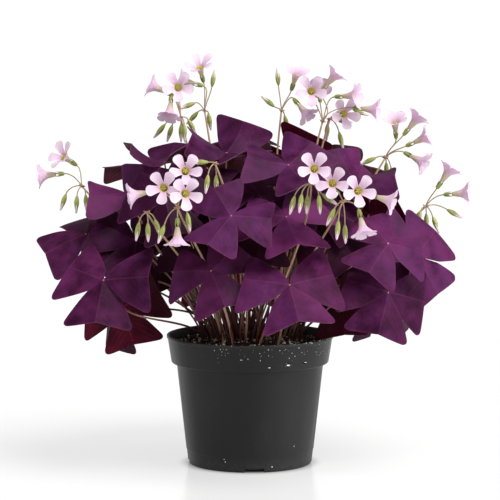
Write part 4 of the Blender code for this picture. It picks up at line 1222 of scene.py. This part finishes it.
class Finish:
    """A material's nodes, made with short calls. Object coordinates are in metres."""

    def __init__(self, name, roughness=0.5):
        self.mat = bpy.data.materials.new(name)
        self.mat.use_nodes = True
        self.tree = self.mat.node_tree
        self.shader = self.tree.nodes["Principled BSDF"]
        self.set("Roughness", roughness)
        self.place = self.signal("TexCoord", output="Object")

    def signal(self, kind, inputs=None, output=0, **settings):
        """What a new node gives, once it has its settings and its inputs, by name or number."""
        node = self.tree.nodes.new("ShaderNode" + kind)
        for word, value in settings.items():
            setattr(node, word, value)
        for word, value in (inputs or {}).items():
            self.feed(node.inputs[word], value)
        return Signal(self, node.outputs[output])

    def feed(self, socket, value):
        """Links a signal to a socket, or sets the socket's value."""
        if isinstance(value, Signal):
            self.tree.links.new(value.socket, socket)
        elif isinstance(value, tuple) and len(socket.default_value) == 4:
            socket.default_value = (*value, 1.0)
        else:
            socket.default_value = value

    def set(self, word, value):
        """Sets or links one of the shader's inputs."""
        self.feed(self.shader.inputs[word], value)

    def math(self, operation, *values):
        """The result of a sum on one or two values."""
        return self.signal("Math", dict(enumerate(values)), operation=operation)

    def mix(self, share, first, second):
        """A colour between two colours."""
        return self.signal("Mix", {0: share, 6: first, 7: second}, 2, data_type="RGBA")

    def ease(self, value, low, high, start=0.0, end=1.0):
        """A smooth step from start to end as the value goes from low to high."""
        inputs = dict(enumerate((value, low, high, start, end)))
        return self.signal("MapRange", inputs, interpolation_type="SMOOTHSTEP")

    def noise(self, scale, detail=3.0, stretch=(1.0, 1.0, 1.0), roughness=0.5):
        """Cloudy noise; scale is in waves a metre, and stretch multiplies it along each axis."""
        place = self.signal("Mapping", {"Vector": self.place, "Scale": stretch})
        return self.signal("TexNoise", {"Vector": place, "Scale": scale, "Detail": detail,
                                        "Roughness": roughness}, "Fac")

    def cells(self, scale):
        """Distance to the middle of the nearest cell."""
        return self.signal("TexVoronoi", {"Vector": self.place, "Scale": scale}, "Distance")

    def depth_inside(self, outer, inner):
        """0 out at the dome of leaves, and 1 deep inside it: how much painted shade a leaf gets
        there.
        """
        squash, middle = (1.0, 1.0, DOME_SQUASH), (0.0, 0.0, DOME_MIDDLE * DOME_SQUASH)
        place = self.signal("VectorMath", {0: self.place, 1: squash}, operation="MULTIPLY")
        distance = self.signal("VectorMath", {0: place, 1: middle}, "Value", operation="DISTANCE")
        return self.ease(distance, outer, inner)

    def height(self, axis=2):
        """Height over the floor, or the place along another axis, in metres."""
        return self.signal("SeparateXYZ", {0: self.place}, axis)

    def uv(self):
        """The two UV coordinates: across a piece and along it."""
        both = self.signal("UVMap", uv_map="UVMap")
        return [self.signal("SeparateXYZ", {0: both}, axis) for axis in (0, 1)]

    def value(self, name):
        """A value that the mesh holds at each point."""
        return self.signal("Attribute", output="Fac", attribute_name=name)

    def bump(self, height, distance):
        """Relief on the surface, in metres."""
        normal = self.signal("Bump", {"Height": height, "Distance": distance})
        self.set("Normal", normal)
        return normal

    def paint(self, colour, *coats):
        """Gives the shader a colour with coats over it, each with its share."""
        for share, coat in coats:
            colour = self.mix(share, colour, coat)
        self.set("Base Color", colour)
        return colour

    def glow_through(self, colour, share, normal):
        """Lets a share of the light through, coloured."""
        through = self.signal("BsdfTranslucent", {"Color": colour, "Normal": normal})
        surface = Signal(self, self.shader.outputs[0])
        blend = self.signal("MixShader", {0: share, 1: surface, 2: through})
        self.feed(self.tree.nodes["Material Output"].inputs["Surface"], blend)


def leaf_marks(finish):
    """Shares of midrib and side veins on a leaflet, and cloudy tones."""
    across, along = finish.uv()
    side = abs(across * 2.0 - 1.0)
    rib = finish.ease(side * along, 0.006, 0.022, 1.0, 0.0)
    course = along * (side * -0.66 + 1.0) * LEAF_VEINS + finish.noise(260.0, 2.0) * 0.5
    vein = finish.ease(abs(finish.math("FRACT", course) - 0.5), 0.36, 0.5)
    return rib, vein, finish.noise(75.0, 4.0)


def leaf_top():
    """The upper side of a leaf: deep purple, paler at the rib, the veins and the edge, with painted
    shade that darkens it deep inside the dome of leaves.
    """
    finish = Finish("leaf_top")
    rib, vein, cloud = leaf_marks(finish)
    cool = finish.ease(finish.noise(20.0, 2.0), 0.42, 0.60, 0.0, 0.45)
    # The tone varies at random, and for the inner leaves it also holds painted shade
    depth = finish.value("tone") * 0.5 + cloud * 1.1
    finish.paint(PURPLE_DEEP,
                 (finish.ease(depth, 0.2, 1.05), finish.mix(cool, PURPLE, PURPLE_COOL)),
                 (vein * 0.07, PURPLE_VEIN),
                 (rib * 0.14, PURPLE_RIB),
                 (finish.value("edge") * 0.15, PURPLE_EDGE),
                 # painted shade deep inside the dome of leaves
                 (finish.depth_inside(*TOP_SHADE) * 0.95, SHADE))
    finish.set("Roughness", finish.ease(cloud, 0.2, 0.8, 0.44, 0.58))
    finish.set("Specular IOR Level", 0.09)
    crumple = finish.noise(110.0, 2.0) * 9.0
    relief = finish.noise(1500.0, 2.0) * 0.5 + vein * 0.6 + rib + crumple
    finish.glow_through(PURPLE_LIT, 0.14, finish.bump(relief, 0.0001))
    return finish.mat


def leaf_under():
    """The underside of a leaf: wine red with paler veins, with painted shade that darkens it deep
    inside the dome of leaves.
    """
    finish = Finish("leaf_under")
    rib, vein, cloud = leaf_marks(finish)
    finish.paint(WINE_DEEP,
                 (finish.ease(cloud, 0.3, 0.75), WINE),
                 (vein * 0.3, WINE_VEIN),
                 (rib * 0.6, WINE_VEIN),
                 # painted shade deep inside the dome of leaves
                 (finish.depth_inside(*UNDER_SHADE) * 0.85, SHADE))
    finish.set("Specular IOR Level", 0.08)
    finish.glow_through(WINE_LIT, 0.18, finish.bump(vein + rib * 2.0, 0.00015))
    return finish.mat


def leaf_rim():
    """The thin edge of a leaf."""
    finish = Finish("leaf_rim", 0.55)
    finish.paint(PURPLE_EDGE_DARK, (finish.noise(400.0), PURPLE_EDGE))
    return finish.mat


def hub_pink():
    """The joint at the middle of a leaf."""
    finish = Finish("leaf_hub")
    finish.paint(HUB_DARK, (finish.noise(900.0), HUB_PINK))
    finish.bump(finish.noise(1800.0), 0.0001)
    return finish.mat


def stem_finish(name, low, high, start, end):
    """A stem that is darker low down, with fine lengthwise streaks."""
    finish = Finish(name, 0.42)
    _, along = finish.uv()
    streak = finish.noise(500.0, 3.0, (1.0, 1.0, 0.06))
    climb = along + streak * 0.3 + finish.value("tone") * 0.3 - 0.3
    finish.paint(low, (finish.ease(climb, start, end), high))
    finish.bump(streak, 0.00012)
    finish.set("Subsurface Weight", 0.15)
    finish.set("Subsurface Radius", (0.8, 0.3, 0.2))
    finish.set("Subsurface Scale", 0.001)
    return finish.mat


def sepal_green():
    """A calyx: olive green, paler at the veins, with a rusty point."""
    finish = Finish("sepal", 0.45)
    across, along = finish.uv()
    stripe = abs(finish.math("SINE", across * 12.0))
    finish.paint(SEPAL_DARK,
                 (finish.noise(420.0) * (stripe + 0.5), SEPAL_LIGHT),
                 (finish.ease(along, 0.86, 1.0), SEPAL_TIP))
    finish.bump(stripe, 0.0001)
    return finish.mat


def bud_finish():
    """A bud: green sepals over the foot, and a pale pink tip."""
    finish = Finish("bud", 0.42)
    across, along = finish.uv()
    lobe = finish.math("COSINE", across * (2 * math.pi * SEPALS))
    reach = along + lobe * 0.13 + finish.value("tone") * 0.16 - 0.08
    tip = finish.mix(finish.ease(along, 0.62, 0.95), BUD_CREAM, BUD_PINK)
    finish.paint(SEPAL_DARK,
                 (finish.noise(500.0), SEPAL_LIGHT),
                 (finish.ease(lobe, -1.0, -0.75, 0.55, 0.0), SEPAL_SEAM),
                 (finish.ease(reach, 0.58, 0.66), tip))
    finish.bump(finish.ease(reach, 0.56, 0.64, 1.0, 0.0), 0.0003)
    return finish.mat


def petal_marks(finish):
    """Places across and along a petal, and its fan of fine veins."""
    across, along = finish.uv()
    fan = (across - 0.5) * PETAL_VEINS + finish.noise(300.0)
    return across, along, finish.ease(finish.math("COSINE", fan), 0.45, 1.0)


def petal_inside():
    """A petal's inner face: pale lilac pink, whiter at the rim, green in the throat."""
    finish = Finish("petal_inside", 0.55)
    across, along, vein = petal_marks(finish)
    vein = vein * finish.ease(along, 0.98, 0.5)
    side = abs(across * 2.0 - 1.0)
    rim = finish.math("MAXIMUM", finish.ease(side, 0.7, 1.0), finish.ease(along, 0.84, 1.0))
    reach = along - vein * 0.06
    colour = finish.paint(PETAL_PINK,
                          (finish.ease(along, 0.44, 0.72), PETAL_PALE),
                          (rim * 0.7, PETAL_EDGE_WHITE),
                          (vein * 0.28, PETAL_VEIN),
                          (finish.ease(reach, 0.50, 0.35), THROAT),
                          (finish.ease(reach, 0.36, 0.10), THROAT_DEEP))
    finish.glow_through(colour, 0.36, finish.bump(vein, 0.0001))
    return finish.mat


def petal_outside():
    """A petal's outer face: a cream tube that turns pink as it flares."""
    finish = Finish("petal_outside", 0.55)
    _, along, vein = petal_marks(finish)
    finish.paint(TUBE_CREAM,
                 (finish.ease(along, 0.1, 0.5), PETAL_PALE),
                 (finish.ease(along, 0.45, 0.9) * 0.55, PETAL_PINK),
                 (vein * 0.25, PETAL_VEIN))
    finish.glow_through(PETAL_PALE, 0.5, finish.bump(vein, 0.0001))
    return finish.mat


def anther_finish():
    """Anthers and pistil in the throat."""
    finish = Finish("anther", 0.6)
    finish.paint(PISTIL, (finish.value("tone"), ANTHER), (finish.noise(3000.0) * 0.4, ANTHER_BROWN))
    finish.bump(finish.noise(4000.0), 0.0001)
    return finish.mat


def pot_plastic():
    """Charcoal moulded plastic with faint flow marks, dust and specks, and a painted sheen that
    lightens its right side.
    """
    finish = Finish("pot_plastic_dust_and_sheen")
    finish.set("Specular IOR Level", 0.22)
    height = finish.height()
    cloud = finish.ease(finish.noise(28.0, 5.0, (1.0, 1.0, 0.45)), 0.5, 0.8) * 0.10
    foot = finish.ease(height, 0.014, 0.0, 0.0, 0.16)
    lip = finish.ease(height, 0.0975, 0.1005, 0.0, 0.14)
    dust = (cloud + foot + lip) * finish.ease(finish.noise(420.0, 4.0), 0.3, 0.7, 0.3, 1.3)
    speck = (finish.ease(finish.cells(210.0), 0.055, 0.085, 1.0, 0.0)
             * finish.ease(finish.noise(45.0, 1.0), 0.56, 0.62)
             * finish.ease(height, 0.076, 0.088))
    finish.paint(PLASTIC,
                 # painted sheen: lighter towards +X, where the side light falls
                 (finish.ease(finish.height(0), -0.01, 0.055), PLASTIC_PAINTED_SHEEN),
                 (dust, PLASTIC_DUST),
                 (speck * 0.35, PLASTIC_SPECK))
    flow = finish.noise(60.0, 4.0, (1.0, 1.0, 0.2))
    finish.set("Roughness", finish.ease(flow, 0.3, 0.75, 0.36, 0.5))
    ripple = finish.noise(140.0, 3.0, (1.0, 1.0, 0.15))
    finish.bump(finish.noise(2600.0, 2.0) * 0.35 + ripple, 0.00009)
    return finish.mat


def soil_finish():
    """Damp potting mix."""
    finish = Finish("potting_mix", 0.85)
    cloud = finish.noise(320.0, 6.0, roughness=0.7)
    finish.paint(SOIL_DARK, (finish.ease(cloud, 0.4, 0.75), SOIL_BROWN))
    finish.bump(finish.noise(700.0, 6.0, roughness=0.75), 0.0012)
    return finish.mat


def grain_finish(name, first, second, roughness):
    """Loose grains, each of its own tone."""
    finish = Finish(name, roughness)
    cloud = finish.noise(1500.0, 4.0)
    finish.paint(first, (finish.value("tone") * 0.7 + cloud * 0.3, second))
    finish.bump(cloud, 0.0003)
    return finish.mat


def water_clear():
    """Clear water."""
    finish = Finish("water", 0.02)
    finish.paint(WHITE)
    finish.set("Transmission Weight", 1.0)
    finish.set("IOR", 1.33)
    return finish.mat


def painted_drop_glint():
    """A painted highlight: the bright spot in a drop of water, a pale blob that glows a little
    though it is no lamp.
    """
    finish = Finish("painted_drop_glint", 0.1)
    finish.paint(GLINT_GREY, (finish.noise(900.0), GLINT_WHITE))
    finish.set("Emission Color", WHITE)
    finish.set("Emission Strength", 0.35)
    return finish.mat


# The pot and what lies in and on it

POT_FINE_SIDES = 144
POT_ROUNDING = 0.45
FOOT_STEP = (11.5, 0.35)
SOIL_FINE_RINGS = 56
SOIL_FINE_SIDES = 190
SOIL_LUMPS = ((1.3, 7.0, 0.0), (0.9, 2.6, 5.0), (0.45, 1.1, 9.0))
CRUMB_COUNT = 900
PERLITE_COUNT = 330
FRONT_PERLITE = 170
RIM_SPECKS = 130
# Least size, how much more at most, and how rare the large ones are
PERLITE_SIZES = (0.35, 0.95, 2.2)
FRONT_SIZES = (0.45, 1.0, 2.4)
SPECK_SIZES = (0.18, 0.42, 2.5)
SPECK_DROPS = (0.2, 13.0, 2.6)
POT_DROPS = ((-76.3, 83.6, 1.6), (-62.5, 84.8, 2.6), (-47.5, 85.6, 1.7))
DROP_SHAPE = (1.4, 0.65, 0.4)
# Size and place of each drop's painted highlight, as shares of the drop
DROP_GLINT = (0.38, 0.24, 0.35)
GLINT_OUT = 0.3
POT_SPECKS = ((-112.5, 8.2, 0.5), (-70.0, 4.4, 0.6), (-48.0, 19.0, 0.45), (-113.5, 10.3, 0.35))
NOTCH_AZIMUTHS = [-90 + NOTCH_TURN + k * 360 / NOTCH_COUNT for k in range(NOTCH_COUNT)]


def rounded(profile, radius):
    """A profile with each corner replaced by a short arc."""
    points = np.array(profile, float)
    made = [points[0]]
    for before, corner, after in zip(points, points[1:], points[2:]):
        into, out = before - corner, after - corner
        cut = min(radius, np.linalg.norm(into) * 0.4, np.linalg.norm(out) * 0.4)
        start, end = corner + unit(into) * cut, corner + unit(out) * cut
        for t in (0.0, 0.25, 0.5, 0.75, 1.0):
            made.append((1 - t) ** 2 * start + 2 * t * (1 - t) * corner + t ** 2 * end)
    return np.array(made + [points[-1]])


def add_object(name, bm):
    """Turns a mesh in millimetres into an object in metres."""
    bmesh.ops.scale(bm, vec=(MM, MM, MM), verts=bm.verts[:])
    mesh = bpy.data.meshes.new(name)
    bm.to_mesh(mesh)
    bm.free()
    return link_object(name, mesh)


def revolved(name, profile, sides):
    """A closed solid of revolution from a profile that starts and ends on the axis."""
    bm = bmesh.new()
    loop = [bm.verts.new((x, 0.0, z)) for x, z in profile]
    edges = [bm.edges.new(pair) for pair in zip(loop, loop[1:])]
    bmesh.ops.spin(bm, geom=loop + edges, cent=(0, 0, 0), axis=(0, 0, 1), angle=2 * math.pi,
                   steps=sides, use_merge=True)
    bmesh.ops.remove_doubles(bm, verts=bm.verts[:], dist=0.001)
    bmesh.ops.recalc_face_normals(bm, faces=bm.faces[:])
    return add_object(name, bm)


def cylinder(bottom, height, radius, sides):
    """An upright cylinder on a bottom point."""
    bm = bmesh.new()
    middle = Matrix.Translation(Vector(bottom) + Vector((0, 0, height / 2)))
    bmesh.ops.create_cone(bm, cap_ends=True, segments=sides, radius1=radius, radius2=radius,
                          depth=height, matrix=middle)
    return add_object("cylinder", bm)


def box(low, high, turn):
    """A box between two corners, turned about the pot's axis."""
    bm = bmesh.new()
    low, high = Vector(low), Vector(high)
    place = Matrix.Rotation(math.radians(turn), 4, "Z") @ Matrix.Translation((low + high) / 2)
    bmesh.ops.create_cube(bm, size=1.0, matrix=place @ Matrix.Diagonal((*(high - low), 1.0)))
    return add_object("box", bm)


def combine(thing, others, operation):
    """Joins solids to an object, or cuts them from it, and removes them."""
    group = bpy.data.collections.new("pieces")
    for other in others:
        group.objects.link(other)
    step = thing.modifiers.new(operation.title(), "BOOLEAN")
    step.operation = operation
    step.solver = "EXACT"
    step.operand_type = "COLLECTION"
    step.collection = group
    bpy.context.view_layer.update()
    seen = thing.evaluated_get(bpy.context.evaluated_depsgraph_get())
    mesh = bpy.data.meshes.new_from_object(seen)
    thing.modifiers.clear()
    thing.data = mesh
    for other in others:
        bpy.data.objects.remove(other)
    bpy.data.collections.remove(group)


def notch_boxes(grow, inner, height):
    """One box for each notch in the pot's foot."""
    half = NOTCH_WIDTH / 2 + grow
    low, high = (inner, -half, -1.0), (BASE_RADIUS + 5.0, half, height)
    return [box(low, high, azimuth) for azimuth in NOTCH_AZIMUTHS]


def stepped_profile():
    """The pot's section with a shallow step low on its outside, and rounded corners."""
    height, depth = FOOT_STEP
    profile = list(pot_profile())
    foot, top = profile[-3], profile[-4]
    slope = (top[0] - foot[0]) / (top[1] - foot[1])
    at_step = foot[0] + slope * (height - foot[1])
    profile[-3:-3] = [(at_step, height), (at_step - depth, height - 0.5)]
    profile[-3] = (foot[0] - depth, foot[1])
    return rounded(profile, POT_ROUNDING)


def make_pot():
    """The pot: a turned shell with pockets over the notches in its foot, and drain holes."""
    pot = revolved("nursery_pot", stepped_profile(), POT_FINE_SIDES)
    inner = BASE_RADIUS - NOTCH_DEPTH
    pockets = cylinder((0, 0, 0.2), NOTCH_HEIGHT + WALL, BASE_RADIUS - WALL / 2, POT_FINE_SIDES)
    combine(pockets, notch_boxes(WALL, inner - WALL, NOTCH_HEIGHT + WALL), "INTERSECT")
    combine(pot, [pockets], "UNION")
    cuts = notch_boxes(0.0, inner, NOTCH_HEIGHT)
    for azimuth in NOTCH_AZIMUTHS:
        x, y = polar(BASE_RADIUS - NOTCH_DEPTH / 2 - 1.0, math.radians(azimuth))
        cuts.append(cylinder((x, y, NOTCH_HEIGHT - 1.0), WALL + 2.0, DRAIN_RADIUS, 24))
    combine(pot, cuts, "DIFFERENCE")
    pot.data.shade_smooth()
    pot.data.set_sharp_from_angle(angle=math.radians(40))
    pot.data.materials.clear()
    pot.data.materials.append(pot_plastic())
    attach(pot, "root")
    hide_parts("pot")


def pot_side(azimuth, height):
    """A place on the pot's outside and the way out from it."""
    heights = (0.0, BAND_BOTTOM - 0.6, BAND_BOTTOM, POT_HEIGHT - LIP_HEIGHT - 0.5, POT_HEIGHT)
    radii = (BASE_RADIUS, BODY_TOP_RADIUS, BAND_FOOT_RADIUS, RIM_RADIUS - 0.9, RIM_RADIUS)
    out = direction(azimuth, 0)
    return out * np.interp(height, heights, radii) + (0, 0, height), out


def crumbled_height(x, y):
    """The soil's height with lumps and crumbs, each kind with a rise, a width and a layer."""
    lumps = sum(rise * noise.noise((x / width, y / width, layer))
                for rise, width, layer in SOIL_LUMPS)
    return soil_height(x, y) + lumps


def on_soil(radius, turn):
    """The place on the rough soil at a radius and an angle in radians."""
    x, y = polar(radius, turn)
    return np.array((x, y, crumbled_height(x, y)))


def drawn_size(draw, least, more, power):
    """A size that is mostly small."""
    return least + more * draw.uniform() ** power


def drawn_place(draw, edge):
    """A place on the soil, drawn evenly over it."""
    return on_soil(edge * 0.97 * math.sqrt(draw.uniform()), draw.uniform(0, 2 * math.pi))


def make_soil(draw):
    """The soil: a rough mound, crumbs on it, and pale grains, more of them at the front."""
    section = soil_profile()
    edge = section[0][0]
    turns = round_turns(SOIL_FINE_SIDES)
    radii = edge * np.linspace(0.0, 1.0, SOIL_FINE_RINGS) ** 0.75
    top = np.array([[on_soil(radius, turn) for turn in turns] for radius in radii])
    skirt = np.array([[(*polar(radius, turn), z) for turn in turns] for radius, z in section[1:]])
    skin = Skin()
    skin.grid(np.concatenate((top, skirt)), wrap=True, flip=True)
    skin.piece("soil_mound", [soil_finish()], "soil", ["soil"])
    crumbs, grains = Skin(), Skin()
    for _ in range(CRUMB_COUNT):
        place, size = drawn_place(draw, edge), draw.uniform(0.35, 1.3) ** 1.4
        add_grain(crumbs, CRUMB, place, size, draw)
    for _ in range(PERLITE_COUNT):
        place, size = drawn_place(draw, edge), drawn_size(draw, *PERLITE_SIZES)
        add_grain(grains, GRAIN, place + (0, 0, size * 0.35), size, draw)
    for _ in range(FRONT_PERLITE):
        turn, far = math.radians(draw.uniform(-180, 0)), edge * draw.uniform(0.3, 0.85)
        size = drawn_size(draw, *FRONT_SIZES)
        add_grain(grains, GRAIN, on_soil(far, turn) + (0, 0, size * 0.4), size, draw)
    crumb, perlite = (grain_finish("crumb", SOIL_DARK, SOIL_CRUMB, 0.9),
                      grain_finish("perlite", PERLITE_TAN, PERLITE_WHITE, 0.9))
    crumbs.piece("soil_crumbs", [crumb], "soil", [])
    grains.piece("soil_perlite", [perlite], "soil", [])


def make_specks(draw):
    """Specks of potting mix that cling to the pot, most of them under the rim at the right."""
    skin = Skin()
    for _ in range(RIM_SPECKS):
        azimuth = -90 + 80 * draw.uniform(-0.35, 1.0)
        place, out = pot_side(azimuth, POT_HEIGHT - drawn_size(draw, *SPECK_DROPS))
        add_grain(skin, CRUMB, place + out * 0.05, drawn_size(draw, *SPECK_SIZES), draw)
    for azimuth, height, size in POT_SPECKS:
        place, out = pot_side(azimuth, height)
        add_grain(skin, CRUMB, place + out * 0.1, size, draw)
    skin.piece("pot_specks", [grain_finish("speck", PERLITE_TAN, PERLITE_WHITE, 0.85)], "soil", [])


def make_drops():
    """Drops of water low on the pot's band, each with a painted highlight that glows a little."""
    skin = Skin()
    points, faces = rounded_grain(4)
    for azimuth, height, size in POT_DROPS:
        place, out = pot_side(azimuth, height)
        side = np.cross((0.0, 0.0, 1.0), out)
        pose = size * np.column_stack((side, (0, 0, 1), out)) * DROP_SHAPE
        skin.blob(points @ pose.T + place, faces)
        # The drop's painted highlight: a glowing blob set in it
        skin.blob(points * DROP_GLINT @ pose.T + place + out * size * GLINT_OUT, faces, 1)
    skin.piece("pot_drops", [water_clear(), painted_drop_glint()], "pot", [])


# The plant

THICKET_COUNT = 84
THICKET_SPREAD = 40.0
THICKET_REACH = (58.0, 86.0)
THICKET_TOP = (148.0, 196.0)
THICKET_RADII = (0.55, 0.9)
THICKET_SWING = 25.0
THICKET_BOW = 5.0
THICKET_TURN = math.degrees(2.4)
CROWN_PLACES = (-ROOT_DEPTH, -2.0, 0.0, 1.4)
CROWN_RADII = TUFT_RADIUS * np.array((0.8, 0.95, 0.9, 0.4))


def make_thicket(draw):
    """Thin inner stems that crowd the soil and fan out under the leaves."""
    skin = Skin()
    for k in range(THICKET_COUNT):
        turn, share = THICKET_TURN * k, math.sqrt((k + 0.5) / THICKET_COUNT)
        start = direction(turn, 0) * THICKET_SPREAD * share
        start[2] = soil_height(start[0], start[1]) - 3.0
        out = direction(turn + draw.uniform(-THICKET_SWING, THICKET_SWING), 0)
        end = out * draw.uniform(*THICKET_REACH) * (0.25 + 0.75 * share)
        end[2] = draw.uniform(*THICKET_TOP)
        bow = THICKET_BOW * draw.normal(size=3)
        line = stem_points(start, end, unit(end - start), (0.4, 0.3, bow, -bow * 0.5), 16)
        radius = draw.uniform(*THICKET_RADII)
        radii = np.linspace(radius, radius * 0.75, len(line))
        add_stem(skin, line, radii, 0, draw.uniform(0.0, 0.6), 8)
    inner = stem_finish("inner_stem", STEM_LOW, STEM_HIGH, 0.1, 1.2)
    skin.piece("inner_stems", [inner], "stalk", [])


def make_leaves(tufts, draw):
    """Each tuft's leaves and their stems, on a short crown in the soil."""
    blades = [leaf_top(), leaf_under(), leaf_rim(), hub_pink()]
    stems = [stem_finish("petiole", STEM_LOW, STEM_HIGH, 0.05, 0.75)]
    for number, tuft in enumerate(tufts, 1):
        node = f"leaf_tuft_{number:02d}"
        leaves, stalks = Skin(), Skin()
        crown = tuft["crown"] + np.outer(CROWN_PLACES, (0, 0, 1))
        add_stem(stalks, crown, CROWN_RADII, 0, 0.1, 14)
        for leaf in tuft["leaves"]:
            tone = add_leaf(leaves, leaf, draw)
            line = smooth_line(leaf["stem"], 24)
            radii = PETIOLE_RADIUS * np.linspace(1.1, 0.72, len(line))
            # The stem takes its leaf's tone, with the inner leaves' painted shade
            add_stem(stalks, line, radii, 0, tone)
        leaves.piece(f"tuft_{number:02d}_leaves", blades, "leaf", [node])
        stalks.piece(f"tuft_{number:02d}_stems", stems, "stalk", [node])


def make_flowers(heads, draw):
    """Each flower stalk and its open flowers."""
    stalk = [stem_finish("scape", STEM_HIGH, SCAPE_HIGH, 0.1, 0.8), sepal_green(), bud_finish(),
             stem_finish("pedicel", SCAPE_HIGH, PEDICEL_TAN, 0.0, 0.8)]
    petals = [petal_inside(), petal_outside(), anther_finish()]
    for number, head in enumerate(heads, 1):
        skin = Skin()
        add_stalk(skin, head, draw)
        skin.piece(f"stalk_{number:02d}", stalk, "stalk", [f"flower_stalk_{number:02d}"])
        for k, item in enumerate(head["blooms"], 1):
            skin = Skin()
            add_bloom(skin, item, draw)
            skin.piece(f"flower_{number:02d}_{k}", petals, "petal", [f"bloom_{number:02d}_{k}"])


# Floor, light and camera, in metres

FLOOR_SIZE = 90.0
FLOOR_GLOW = 0.57
# Radii in metres over which the floor's glow fades out towards the pot: a painted contact shadow
# round its foot
UNDER_POT = (0.040, 0.058)
CAMERA_PLACE = (0.0, -2.2, 0.41)
CAMERA_TARGET = (0.0, 0.0, 0.167)
LENS = 204.8
SKY_FADE = (0.2, 0.65, 0.52, 0.22)
SUN_TARGET = (0.0, 0.0, 0.17)
SUNS = (
    ("key", (0.75, -0.85, 2.0), 36.0, 3.3, (1.0, 0.985, 0.97)),
    ("fill", (-1.5, -0.9, 1.0), 60.0, 0.32, (0.98, 0.99, 1.0)),
    ("side", (1.8, -0.75, 0.5), 44.0, 1.5, WHITE),
)


def aim_at(thing, place, target):
    """Puts a light or the camera at a place, facing a target."""
    thing.location = place
    thing.rotation_euler = (Vector(target) - Vector(place)).to_track_quat("-Z", "Y").to_euler()


def make_stage():
    """A pale floor, which glows a little where the pot doesn't stand on it; the glow fades out
    towards the pot's foot as a painted contact shadow.
    """
    bm = bmesh.new()
    bmesh.ops.create_grid(bm, x_segments=1, y_segments=1, size=FLOOR_SIZE / 2)
    mesh = bpy.data.meshes.new("floor")
    bm.to_mesh(mesh)
    bm.free()
    floor = link_object("floor", mesh)
    finish = Finish("floor_white", 0.22)
    finish.paint(FLOOR_WHITE)
    out = finish.signal("VectorMath", {0: finish.place}, "Value", operation="LENGTH")
    finish.set("Emission Color", WHITE)
    # No glow under and just round the pot's foot: painted contact shadow
    finish.set("Emission Strength", finish.ease(out, *UNDER_POT, 0.0, FLOOR_GLOW))
    mesh.materials.append(finish.mat)


def make_sky():
    """A plain pale world, bright low down all round and dimmer overhead."""
    world = bpy.data.worlds.new("studio")
    bpy.context.scene.world = world
    world.use_nodes = True
    nodes, links = world.node_tree.nodes, world.node_tree.links
    split = nodes.new("ShaderNodeSeparateXYZ")
    links.new(nodes.new("ShaderNodeTexCoord").outputs["Generated"], split.inputs[0])
    fade = nodes.new("ShaderNodeMapRange")
    fade.interpolation_type = "SMOOTHSTEP"
    for socket, number in zip(list(fade.inputs)[1:], SKY_FADE):
        socket.default_value = number
    links.new(split.outputs[2], fade.inputs[0])
    links.new(fade.outputs[0], nodes["Background"].inputs["Strength"])
    nodes["Background"].inputs["Color"].default_value = (*WHITE, 1.0)


def make_lights():
    """Broad soft studio lights from far away."""
    for name, place, spread, strength, colour in SUNS:
        light = bpy.data.lights.new(name, "SUN")
        light.angle = math.radians(spread)
        light.energy = strength
        light.color = colour
        aim_at(link_object(name, light), place, SUN_TARGET)


def make_camera():
    """The camera at the photograph's viewing angle."""
    data = bpy.data.cameras.new("camera")
    data.lens = LENS
    data.clip_end = 100.0
    camera = link_object("camera", data)
    aim_at(camera, CAMERA_PLACE, CAMERA_TARGET)
    bpy.context.scene.camera = camera


def main():
    """Dresses the frame."""
    heads, tufts = plant_layout()
    draw = np.random.RandomState(5)
    make_pot()
    make_soil(draw)
    make_specks(draw)
    make_drops()
    make_leaves(tufts, draw)
    make_flowers(heads, draw)
    make_thicket(draw)
    make_stage()
    make_sky()
    make_lights()
    make_camera()
    bpy.context.scene.view_settings.view_transform = "Standard"


main()
